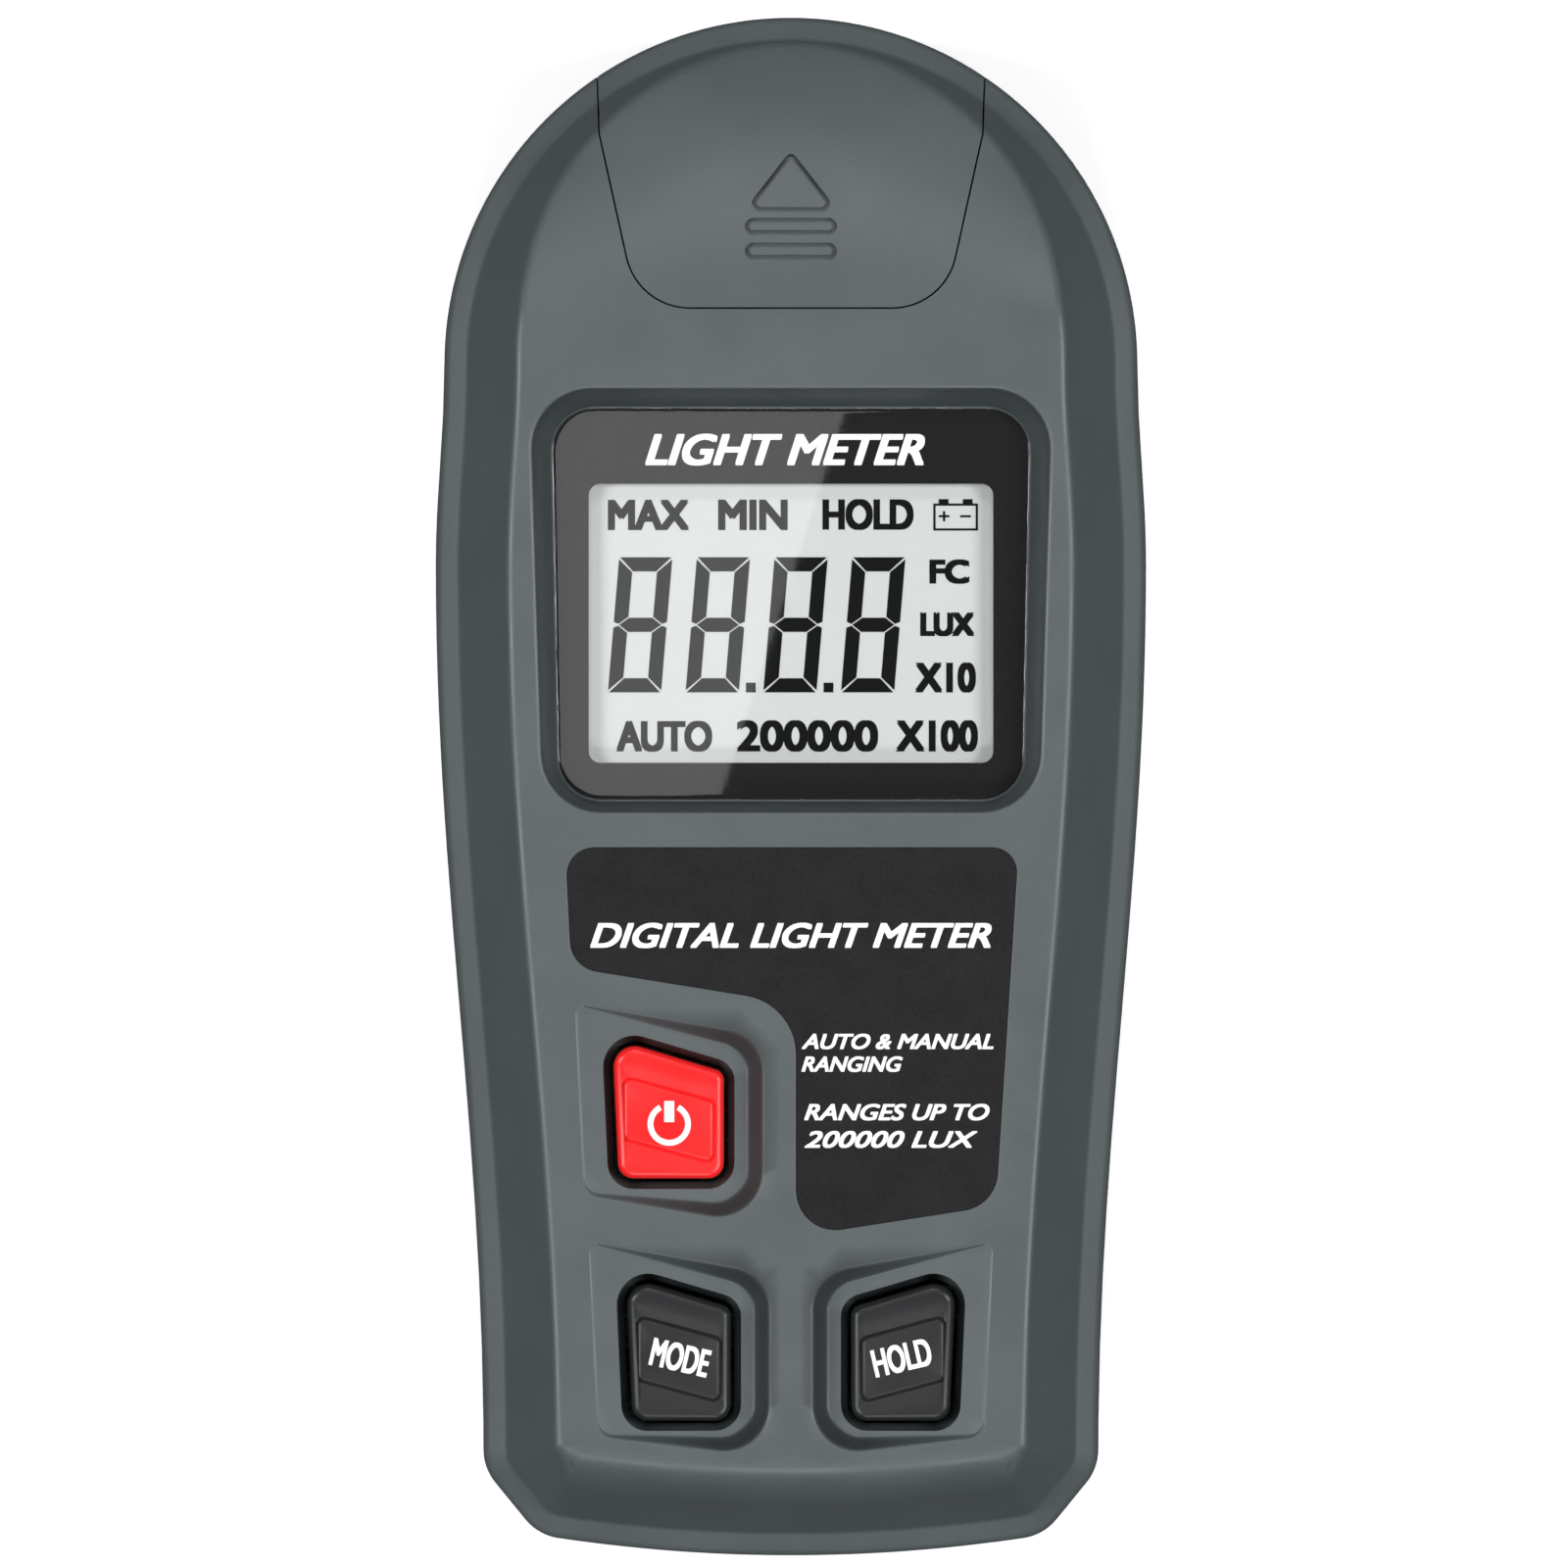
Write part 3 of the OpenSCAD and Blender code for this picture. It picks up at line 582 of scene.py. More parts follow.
def key_surround(shell, key, side):
    """A key's pocket and well; returns the pocket's rim."""
    pocket = flipped(pocket_loops(key), side)
    well = flipped(well_loops(key), side)
    shell.rows(pocket)
    shell.patch(pocket[-1], [well[0]], lambda x, y: FACE_Z - pocket_sink(key, x * side), 1.2)
    _, bottom = shell.rows(well)
    shell.cap(bottom)
    return pocket[0]


def window_recess(shell):
    """The sloped recess round the display window and the aperture under it; returns its rim."""
    seat = plate_outline(0.06)
    floor_z = PLATE_LOW.z + 0.4
    rim_loops = edge_round(recess_outline, FACE_Z, -1.45, floor_z, RECESS_ROUND)
    opening = lcd_outline(APERTURE_GROW)
    shell.rows(rim_loops + [at_height(seat, floor_z), at_height(seat, PLATE_LOW.z)])
    shell.patch(at_height(seat, 0), [at_height(opening, 0)], lambda x, y: PLATE_LOW.z)
    _, bottom = shell.rows([at_height(opening, PLATE_LOW.z), at_height(opening, BLIND_Z)])
    shell.cap(bottom)
    return rim_loops[0]


def label_recess(shell):
    rim_loops = edge_round(label_outline, FACE_Z, 0, FACE_Z - LABEL_DEPTH, LABEL_ROUND)
    floor = at_height(label_outline(0.03), FACE_Z - LABEL_DEPTH)
    _, bottom = shell.rows(rim_loops + [floor])
    shell.cap(bottom)
    return rim_loops[0]


HOLLOW_STEPS = ((WALL, PART_Z - 1), (2.4, PART_Z + 3), (3.9, PART_Z + 5), (6.2, BLIND_Z + 0.5))
HOLLOW_END_Y = CAP_LOW_Y - 2.4


def case_hollow():
    """Space inside the front case, up to the underside of the display and the keys."""
    shell = Shell()
    loops = []
    for inset, z in HOLLOW_STEPS:
        loops.append([(p.x, min(p.y, HOLLOW_END_Y), z) for p in case_outline(inset)])
    shell.closed(loops)
    return shell.object("case_hollow")


# space under the sensor cap: the cap's channel between its two runners, which slide in grooves
CHANNEL_HALF_W = 9.6
RUNNER_T = 1.6
GROOVE_GAP, GROOVE_DEPTH = 0.25, 1.8
LIGHT_HOLE_R, FILTER_SEAT_R, FILTER_SEAT = 4, 5.2, 1.4


def deck_cutters():
    """Solids that cut the deck, the channels and the bores under the sensor cap."""
    seam_low, top = PART_Z - 1, FACE_Z + 1
    above = prism("above_deck", cap_outline(0), DECK_Z, top)
    beside = prism("beside_deck", cap_outline(0), seam_low, DECK_Z + 0.5)
    combine(beside, [prism("deck", case_outline(WALL + 0.6), seam_low - 1, DECK_Z + 2)], "DIFFERENCE")
    near, far = CHANNEL_HALF_W - GROOVE_GAP, CHANNEL_HALF_W + RUNNER_T + GROOVE_GAP
    low, high = (CAP_LOW_Y - 1, DECK_Z - GROOVE_DEPTH), (TOP_Y + 1, top)
    grooves = []
    for side in (-1, 1):
        groove = side_block("groove", side, near, far, low, high)
        grooves.append(combine(groove, [prism("limit", cap_outline(0), PART_Z, top + 1)], "INTERSECT"))
    middle = (0, DOME_Y)
    bores = [disc("bore", middle, LIGHT_HOLE_R, seam_low, top),
             disc("filter_bore", middle, FILTER_SEAT_R, DECK_Z - FILTER_SEAT, top)]
    return [above, beside] + grooves + bores


# Painted shade: the walls of the window recess and the key pockets are darkened, down to this share of the
# colour.
RECESS_SHADE_ATTRIBUTE = "recess"
RECESS_PAINTED_SHADE = 0.42


def mark_painted_recess_shade(case):
    """Notes on the mesh which points lie on a recess wall, where the case's material paints shade by
    darkening its colour.
    """
    points = np.array([tuple(v.co) for v in case.data.vertices]) / MM
    plan = points[:, :2]
    recess_shade = np.zeros(len(points))
    ring = inside(plan, recess_outline(-0.02)) & ~inside(plan, plate_outline(0.2))
    # Full painted shade on the window recess wall; on a pocket wall it grows with the pocket's depth.
    recess_shade[ring & (points[:, 2] < FACE_Z - 0.05)] = 1
    for key, side in KEYS_AND_SIDES:
        loops = flipped(pocket_loops(key), side)
        rim, floor = ([Vector(p[:2]) for p in loop] for loop in (loops[0], loops[-1]))
        sinks = np.array([pocket_sink(key, x * side) for x in points[:, 0]])
        wall = inside(plan, rim) & ~inside(plan, grown(floor, 0.04)) & (points[:, 2] > BLIND_Z)
        recess_shade[wall] = np.minimum(1, 1.4 * sinks / POCKET_DEPTH)[wall]
    case.data.attributes.new(RECESS_SHADE_ATTRIBUTE, "FLOAT", "POINT").data.foreach_set("value", recess_shade)


def front_shell():
    shell = Shell()
    ridge = case_blank(shell)
    rims = [window_recess(shell), label_recess(shell)]
    rims += [key_surround(shell, key, side) for key, side in KEYS_AND_SIDES]
    shell.patch(ridge, rims, face_height, FACE_SPACING, roll_points())
    case = shell.object("front_shell")
    combine(case, [case_hollow()] + deck_cutters(), "DIFFERENCE")
    mark_painted_recess_shade(case)
    smooth(case)
    case.data.materials.append(case_grey())
    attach(case, "meter")
    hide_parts("front_case")


# ---- sensor cap ----

CAP_GAP = 0.13
CAP_WALL = 1.65
CAP_ROOM_LOW_Y, CAP_ROOM_REACH = 20, 40  # well past the cap on each side
DECK_PLAY, RUNNER_LIFT = 0.25, 1.5
RUNNER_SLOT = (CHANNEL_HALF_W - 1, CHANNEL_HALF_W + 2)
ENGRAVE_DEPTH = 0.4
ENGRAVE_W = 0.38
ARROW = [Vector((-3.7, 43.7)), Vector((3.7, 43.7)), Vector((0, 48.5))]
BAR_HALF_W, BAR_HALF_H = 3.5, 0.66
BAR_Y = (42.6, 40.7)


def case_solid(name, extra, drop):
    """A closed case-shaped solid, inset at the sides and lowered at the face."""
    shell = Shell()
    ridge = case_blank(shell, extra, drop)
    shell.patch(ridge, [], lambda x, y: face_height(x, y, drop), FACE_SPACING, roll_points())
    return shell.object(name)


def engraved(name, outline):
    """Cutter for a narrow groove along an outline(d), as deep everywhere below the curved face."""
    rings = (outline(0), outline(-ENGRAVE_W))
    low, high = ([[(p.x, p.y, face_height(p.x, p.y) + rise) for p in ring] for ring in rings]
                 for rise in (-ENGRAVE_DEPTH, 1))
    shell = Shell()
    first, last = shell.rows([high[0], low[0], low[1], high[1]])
    shell.strip(last, first)
    return shell.object(name)


def arrow_outline(d):
    return rounded(ARROW, d, [0.7 + d, 0.7 + d, 0.5 + d], 5)


def bar_outline(y, d):
    corners = [Vector((x, y + h)) for x, h in ((-BAR_HALF_W, -BAR_HALF_H), (BAR_HALF_W, -BAR_HALF_H),
                                               (BAR_HALF_W, BAR_HALF_H), (-BAR_HALF_W, BAR_HALF_H))]
    return rounded(corners, d, [BAR_HALF_H - 0.05 + d] * 4, 5)


def cap_clearance():
    """Space under the sensor cap: the dome's channel, the pockets beside it and the slots for the deck."""
    runner_out, beyond, top = CHANNEL_HALF_W + RUNNER_T, TOP_Y + 1, FACE_Z + 1
    start = (CAP_ROOM_LOW_Y, PART_Z - 1)
    space = block("channel", (-CHANNEL_HALF_W, *start), (CHANNEL_HALF_W, beyond, top))
    others = []
    for side in (-1, 1):
        pocket = side_block("pocket", side, runner_out, CAP_ROOM_REACH, start, (beyond, top - 1))
        limit = prism("limit", cap_outline(-CAP_WALL), PART_Z - 2, top)
        others.append(combine(pocket, [limit], "INTERSECT"))
        others.append(side_block("deck_slot", side, runner_out, CAP_ROOM_REACH, start,
                                 (beyond, DECK_Z + DECK_PLAY)))
        others.append(side_block("runner_slot", side, *RUNNER_SLOT, start, (beyond, DECK_Z - RUNNER_LIFT)))
    return combine(space, others, "UNION")


def sensor_cap():
    cap = case_solid("sensor_cap_shell", 0, 0)
    combine(cap, [prism("seam", cap_outline(-CAP_GAP), PART_Z + 0.1, FACE_Z + 1)], "INTERSECT")
    inside_space = combine(case_solid("under_cap", WALL + 0.3, WALL), [cap_clearance()], "INTERSECT")
    grooves = [engraved("arrow", arrow_outline)]
    grooves += [engraved("bar", lambda d, y=y: bar_outline(y, d)) for y in BAR_Y]
    combine(cap, [inside_space] + grooves, "DIFFERENCE")
    smooth(cap)
    cap.data.materials.append(cap_grey())
    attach(cap, "cap")
    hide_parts("sensor_cap")


# ---- keys ----

KEY_EDGE = 0.6
KEY_WORD_X, KEY_WORD_Y, KEY_WORD_HALF_W, KEY_WORD_TURN = 8.42, (-44.5, -42.3), 2.25, -13
PAD_LEFT, PAD_RIGHT = 1.05, 0.95
PAD_SHARE = 0.41
PAD_RISE = 0.32
PAD_BEVEL = 0.3
PAD_SLOPE = -0.27
PAD_TOP_Z = KEY_TOP - 0.03


def pad_outline(key, d):
    """The raised slanted pad across a key's middle."""
    at, size = key["at"], key["size"]
    left, right = at.x - size.x + PAD_LEFT, at.x - PAD_RIGHT
    high_y = at.y + size.y * (0.5 + PAD_SHARE / 2)
    height = size.y * PAD_SHARE
    fall = PAD_SLOPE * (right - left)
    corners = [(left, high_y - height), (right, high_y - height + fall),
               (right, high_y + fall), (left, high_y)]
    return rounded(corners, d, [0.35 + d] * 4, 4)


def key_height(key, x, y):
    """Height of a key's top beside its pad: it dips towards the pad's long edges."""
    at, size = key["at"], key["size"]
    middle = at.y + size.y * 0.5 + PAD_SLOPE * (x - at.x + size.x - PAD_LEFT)
    away = max(0, abs(y - middle) - size.y * PAD_SHARE / 2)
    return KEY_TOP - 0.06 - PAD_RISE * math.exp(-(away / 1.1) ** 2)


def key_shape(name, node, body, key, side, material):
    """A moulded key with a rounded edge and a raised pad."""
    foot = at_height(key_outline(key, 0), BLIND_Z)
    edge = []
    for k in range(7):
        turn = math.pi / 2 * k / 6
        ring = key_outline(key, -KEY_EDGE * (1 - math.cos(turn)))
        edge.append([(p.x, p.y, key_height(key, p.x, p.y) - KEY_EDGE * (1 - math.sin(turn))) for p in ring])
    pad_foot = [(p.x, p.y, key_height(key, p.x, p.y)) for p in pad_outline(key, PAD_BEVEL)]
    pad_mid = at_height(pad_outline(key, 0.04), KEY_TOP - 0.06)
    pad_top = at_height(pad_outline(key, -0.06), PAD_TOP_Z)
    shell = Shell()
    base, _ = shell.rows(flipped([foot] + edge, side))
    shell.cap(base)
    shell.patch(flipped(edge, side)[-1], [flipped([pad_foot], side)[0]],
                lambda x, y: key_height(key, x * side, y), 0.45)
    _, top = shell.rows(flipped([pad_foot, pad_mid, pad_top], side))
    shell.cap(top)
    piece = smooth(shell.object(name), 40)
    piece.data.materials.append(material)
    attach(piece, body)
    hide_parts(node)


# ---- printing ----

PRINT_T = 0.015
ITALIC = 0.3
LCD_WEIGHT, TITLE_WEIGHT, KEY_WEIGHT = 0.13, 0.11, 0.07
LABEL_WEIGHT = 0.04  # as a share of the letters' height
POWER_RING_R, POWER_STROKE, POWER_GAP = 1.65, 0.44, 28


def lettering(name, words, low, high, z, material, body="meter", shear=0.0, weight=0.0, turn=0.0):
    """Words in the built-in font, fitted between two corners in plan, with their underside at z.

    Copies set weight millimetres to each side of the thin letters make them bold."""
    curve = bpy.data.curves.new(name, "FONT")
    curve.body, curve.shear, curve.extrude, curve.resolution_u = words, shear, 0.5, 6
    maker = placed(name, curve)
    bpy.context.view_layer.update()
    thin = bpy.data.meshes.new_from_object(maker.evaluated_get(bpy.context.evaluated_depsgraph_get()))
    bpy.data.objects.remove(maker)
    points = np.array([v.co for v in thin.vertices])
    start, size = points.min(0), np.ptp(points, 0)
    room = np.array(high) - np.array(low)
    plan = (points[:, :2] - start[:2]) / size[:2] * (room - 2 * weight) - room / 2 + weight
    c, s = math.cos(turn), math.sin(turn)
    middle = (np.array(low) + np.array(high)) / 2
    verts, faces = [], []
    shifts = [(0, 0)] + [(i * weight, j * weight) for i in (-1, 1) for j in (-0.7, 0.7)] * (weight > 0)
    for layer, (dx, dy) in enumerate(shifts):
        first = len(verts)
        for (x, y), h in zip(plan + (dx, dy), points[:, 2]):
            top = PRINT_T - 0.002 * layer
            place = (middle[0] + c * x - s * y, middle[1] + s * x + c * y, z + (h > 0) * top)
            verts.append(Vector(place) * MM)
        faces += [[first + i for i in polygon.vertices] for polygon in thin.polygons]
    mesh = bpy.data.meshes.new(name)
    mesh.from_pydata(verts, [], faces)
    piece = placed(name, mesh)
    mesh.materials.append(material)
    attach(piece, body)
    return piece


def flat_shapes(name, outlines, z, material, body="meter", thickness=PRINT_T):
    """Thin printed shapes, all in one piece."""
    shell = Shell()
    for outline in outlines:
        shell.closed([at_height(outline, z), at_height(outline, z + thickness)])
    piece = shell.object(name, weld=0.0005)
    piece.data.materials.append(material)
    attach(piece, body)
    return piece


def bar(x0, y0, x1, y1):
    return [Vector(p) for p in ((x0, y0), (x1, y0), (x1, y1), (x0, y1))]


def arc_band(centre, r, width, start, end, steps=40):
    """Outline of a round stroke of the given width, from angle start to end, in degrees."""
    angles = [math.radians(start + (end - start) * i / steps) for i in range(steps + 1)]
    return [centre + polar(a, r) for a in angles] + [centre + polar(a, r - width) for a in reversed(angles)]


def power_mark():
    """The generic power sign: an open ring and an upright bar."""
    at, size = POWER["at"], POWER["size"]
    middle = at + Vector((-size.x / 2 + 0.1, size.y * 0.39))
    ring = arc_band(middle, POWER_RING_R, POWER_STROKE, 90 + POWER_GAP, 90 + 360 - POWER_GAP)
    upright = bar(middle.x - 0.38, middle.y + 0.15, middle.x + 0.38, middle.y + 1.75)
    flat_shapes("power_mark", [ring, upright], PAD_TOP_Z, plain("print_white"), "power_button")


# ---- display ----

DIGIT_W, DIGIT_H, DIGIT_T = 4.05, 10.3, 1.08
DIGIT_X, DIGIT_Y, DIGIT_PITCH = -13.95, 7.17, 5.92
DIGIT_SLANT = 0.084
DIGIT_GAP = 0.07
POINT_SIZE, POINT_GAP = 0.74, 0.55
LCD_PRINT_T = 0.03


def digit_segments():
    """The seven segments of an upright digit, as outlines from its lower left corner."""
    w, h, t, g = DIGIT_W, DIGIT_H, DIGIT_T, DIGIT_GAP
    m = h / 2
    top = [(w - g, h), (g, h), (t + g, h - t), (w - t - g, h - t)]
    side = [(0, h - g - 0.1), (0, m + g + 0.15), (t / 3, m + g), (t, m + t / 2 + g), (t, h - t - g)]
    middle = [(t / 3 + g, m), (t + g, m - t / 2), (w - t - g, m - t / 2), (w - t / 3 - g, m),
              (w - t - g, m + t / 2), (t + g, m + t / 2)]
    shapes = [middle]
    for shape in (top, side):
        shapes.append(shape)
        shapes.append([(x, h - y) for x, y in shape])
    shapes += [[(w - x, y) for x, y in shape] for shape in shapes[3:5]]
    return shapes


def lcd_digits():
    shapes = []
    for i in range(4):
        x0 = DIGIT_X + DIGIT_PITCH * i
        for shape in digit_segments():
            shapes.append([Vector((x0 + x + DIGIT_SLANT * y, DIGIT_Y + y)) for x, y in shape])
        if i in (1, 2):
            left = x0 + DIGIT_W + POINT_GAP
            shapes.append(bar(left, DIGIT_Y, left + POINT_SIZE, DIGIT_Y + POINT_SIZE))
    return shapes


def battery_sign(x0, y0, w, h):
    """The outline of a battery with its two posts, a plus and a minus."""
    t = 0.17
    body_h = h * 0.86
    shapes = [bar(x0, y0, x0 + w, y0 + t), bar(x0, y0 + t, x0 + t, y0 + body_h),
              bar(x0 + w - t, y0 + t, x0 + w, y0 + body_h),
              bar(x0 + t, y0 + body_h - t, x0 + w - t, y0 + body_h)]
    for left in (x0 + w * 0.12, x0 + w * 0.66):
        shapes.append(bar(left, y0 + body_h, left + w * 0.22, y0 + h))
    for left in (x0 + w * 0.12, x0 + w * 0.6):
        shapes.append(bar(left, y0 + h * 0.42, left + w * 0.24, y0 + h * 0.42 + t))
    post = x0 + w * 0.24
    shapes.append(bar(post - t / 2, y0 + h * 0.42 - w * 0.09, post + t / 2, y0 + h * 0.42))
    shapes.append(bar(post - t / 2, y0 + h * 0.42 + t, post + t / 2, y0 + h * 0.42 + t + w * 0.09))
    return shapes


def lcd_words():
    """Annunciators of the display: words, and their lower left and upper right corners."""
    return {
        "MAX": ((-13.95, 19.5), (-7.75, 21.9)), "MIN": ((-5.55, 19.5), (-0.25, 21.9)),
        "HOLD": ((2.4, 19.5), (9.35, 21.95)), "FC": ((10.55, 15.4), (13.6, 17.35)),
        "LUX": ((9.85, 11.4), (14.0, 13.3)), "X10": ((9.45, 7.1), (14.1, 9.5)),
        "AUTO": ((-13.3, 2.6), (-6.0, 5.05)), "200000": ((-4.15, 2.6), (6.65, 5.1)),
        "X100": ((8.0, 2.6), (14.25, 5.1)),
    }


def display():
    z = LCD_HIGH.z + 0.005
    ink = plain("lcd_ink")
    shapes = lcd_digits() + battery_sign(10.85, 19.5, 3.4, 2.4)
    flat_shapes("lcd_segments", shapes, z, ink, thickness=LCD_PRINT_T)
    for words, (low, high) in lcd_words().items():
        lettering("lcd_" + words.lower(), words, low, high, z, ink, weight=LCD_WEIGHT)


LENS_LIFT = 0.06
LENS_EDGE = 0.2


def window():
    """Clear window plate with a black printed border under it."""
    under = PLATE_LOW.z + LENS_LIFT
    levels = (PLATE_LOW.z, under - 0.01)
    border, hole = plate_outline(-0.1), lcd_outline(0)
    shell = Shell()
    for outline in (border, hole):
        shell.rows([at_height(outline, z) for z in levels])
    for z in levels:
        shell.patch(at_height(border, 0), [at_height(hole, 0)], lambda x, y, z=z: z)
    mask = shell.object("window_border", weld=0.001)
    mask.data.materials.append(plain("border_black"))
    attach(mask, "meter")

    shell = Shell()
    loops = [at_height(plate_outline(0), z) for z in (under, PLATE_HIGH.z - LENS_EDGE)]
    for k in range(1, 6):
        turn = math.pi / 2 * k / 5
        loops.append(at_height(plate_outline(-LENS_EDGE * (1 - math.cos(turn))),
                               PLATE_HIGH.z - LENS_EDGE * (1 - math.sin(turn))))
    loops.append(at_height(plate_outline(-LENS_EDGE - 0.3), PLATE_HIGH.z))
    shell.closed(loops)
    lens = smooth(shell.object("window_lens"), 40)
    lens.data.materials.append(clear_gloss())
    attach(lens, "meter")
    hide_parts("display_window")
    lettering("window_title", "LIGHT METER", (-11.1, 24.4), (10.2, 26.9), under - 0.008,
              plain("print_white"), shear=ITALIC, weight=TITLE_WEIGHT)


# ---- label ----

def label():
    """Dark matt label in its recess, with generic words."""
    z0, z1 = LABEL_LOW.z, LABEL_HIGH.z
    shell = Shell()
    edge = ((0, z0), (0, z1 - 0.06), (-0.03, z1 - 0.015), (-0.09, z1), (-0.25, z1))
    shell.closed([at_height(label_outline(d), z) for d, z in edge])
    film = smooth(shell.object("label_film"), 60)
    film.data.materials.append(plain("label_black"))
    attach(film, "meter")
    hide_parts("front_label")
    white = plain("print_white")
    for name, words, low, high in (
            ("label_title", "DIGITAL LIGHT METER", (-15.26, -12.31), (15.25, -10.33)),
            ("label_line_1", "AUTO & MANUAL", (0.8, -19.99), (15.4, -18.77)),
            ("label_line_2", "RANGING", (0.8, -21.71), (8.5, -20.49)),
            ("label_line_3", "RANGES UP TO", (1.0, -25.4), (15.1, -24.1)),
            ("label_line_4", "200000 LUX", (1.0, -27.49), (14.2, -26.16))):
        bold = LABEL_WEIGHT * (high[1] - low[1])
        lettering(name, words, low, high, z1, white, shear=ITALIC, weight=bold)


# ---- materials ----

def linear(red, green, blue):
    """The linear colour of an sRGB colour given from 0 to 255."""
    def channel(c):
        c /= 255
        return c / 12.92 if c <= 0.04045 else ((c + 0.055) / 1.055) ** 2.4
    return Vector((channel(red), channel(green), channel(blue), 1))


def shaded(colour, share):
    """A linear colour made lighter or darker."""
    return (colour[0] * share, colour[1] * share, colour[2] * share, 1)


class Look:
    """A Principled material whose colour, gloss and relief come from noise in object coordinates."""

    def __init__(self, name):
        self.material = bpy.data.materials.new(name)
        self.material.use_nodes = True
        self.tree = self.material.node_tree
        self.shader = self.tree.nodes["Principled BSDF"]
        self.coords = self.node("ShaderNodeTexCoord").outputs["Object"]

    def node(self, kind, **settings):
        made = self.tree.nodes.new(kind)
        for key, value in settings.items():
            setattr(made, key, value)
        return made

    def link(self, output, socket):
        self.tree.links.new(output, socket)

    def noise(self, size_mm, detail=2.0, stretch=None):
        """Noise whose features are about size_mm across; stretch makes them longer along an axis."""
        vector = self.coords
        if stretch:
            mapping = self.node("ShaderNodeMapping")
            mapping.inputs["Scale"].default_value = [1 / s for s in stretch]
            self.link(vector, mapping.inputs["Vector"])
            vector = mapping.outputs["Vector"]
        made = self.node("ShaderNodeTexNoise")
        made.inputs["Scale"].default_value = 1 / (size_mm * MM)
        made.inputs["Detail"].default_value = detail
        self.link(vector, made.inputs["Vector"])
        return made.outputs["Fac"]

    def mix(self, **settings):
        """A colour mixing node: its factor, its two colours and its result."""
        made = self.node("ShaderNodeMix", data_type="RGBA", **settings)
        first, second = [s for s in made.inputs if s.type == "RGBA"]
        return made.inputs["Factor"], first, second, [s for s in made.outputs if s.type == "RGBA"][0]

    def between(self, value, low, high):
        """value, which lies mostly between 0.3 and 0.7, spread over low to high."""
        made = self.node("ShaderNodeMapRange")
        for socket, number in zip(("From Min", "From Max", "To Min", "To Max"), (0.3, 0.7, low, high)):
            made.inputs[socket].default_value = number
        self.link(value, made.inputs["Value"])
        return made.outputs["Result"]

    def mixed(self, share, first, second):
        """Colour from first to second."""
        factor, a, b, result = self.mix()
        self.link(share, factor)
        a.default_value, b.default_value = tuple(first), tuple(second)
        return result

    def surface(self, colour, rough, grain_mm=0.2, relief_mm=0.01, vary=0.06, patch_mm=7.0,
                rough_vary=0.05, stretch=None, strength=0.6):
        """Colour with grain and slow mottling, uneven gloss, and fine relief."""
        grain, patch = self.noise(grain_mm, 3.0, stretch), self.noise(patch_mm, 2.0)
        tone = self.mixed(self.between(patch, 0, 1), shaded(colour, 1 - vary), shaded(colour, 1 + vary))
        speck = self.mixed(self.between(grain, 0, 1), shaded(colour, 1 - vary), shaded(colour, 1 + vary))
        _, a, b, half = self.mix()
        self.link(tone, a)
        self.link(speck, b)
        self.link(half, self.shader.inputs["Base Color"])
        gloss = self.between(patch, rough - rough_vary, rough + rough_vary)
        self.link(gloss, self.shader.inputs["Roughness"])
        bump = self.node("ShaderNodeBump")
        bump.inputs["Strength"].default_value = strength
        bump.inputs["Distance"].default_value = relief_mm * MM
        self.link(grain, bump.inputs["Height"])
        self.link(bump.outputs["Normal"], self.shader.inputs["Normal"])
        return self

    def with_painted_shade(self, attribute, share):
        """Painted shade: the colour times share, as far as the mesh's own attribute says."""
        colour = self.shader.inputs["Base Color"].links[0].from_socket
        read = self.node("ShaderNodeAttribute", attribute_name=attribute)
        factor, first, second, result = self.mix(blend_type="MULTIPLY")
        self.link(read.outputs["Fac"], factor)
        self.link(colour, first)
        second.default_value = (share, share, share, 1)
        self.link(result, self.shader.inputs["Base Color"])
        return self

    def see_through(self, share, clear_first):
        """Mixes the shader with a transparent one by share, in the order given."""
        clear, mix = self.node("ShaderNodeBsdfTransparent"), self.node("ShaderNodeMixShader")
        shaders = (clear, self.shader) if clear_first else (self.shader, clear)
        self.link(share, mix.inputs[0])
        for shader, place in zip(shaders, mix.inputs[1:]):
            self.link(shader.outputs["BSDF"], place)
        self.link(mix.outputs["Shader"], self.tree.nodes["Material Output"].inputs["Surface"])
        return self

    def sockets(self, **values):
        for name, value in values.items():
            self.shader.inputs[name.replace("_", " ")].default_value = value
        return self


MADE = {}


def look(name, make):
    """The material of this name, made once."""
    if name not in MADE:
        MADE[name] = make(Look(name)).material
    return MADE[name]


CASE_COLOUR = linear(82, 89, 91)


def case_grey():
    def make(m):
        # The recess walls get painted shade: the colour is darkened there as the mesh's recess attribute
        # says.
        return m.surface(CASE_COLOUR, 0.45, 0.22, 0.012, 0.085).with_painted_shade(RECESS_SHADE_ATTRIBUTE, RECESS_PAINTED_SHADE)
    return look("case_grey", make)


def cap_grey():
    return look("cap_grey", lambda m: m.surface(CASE_COLOUR, 0.44, 0.22, 0.01, 0.08))


def door_grey():
    return look("door_grey", lambda m: m.surface(shaded(CASE_COLOUR, 0.92), 0.55, 0.18, 0.014, 0.07))


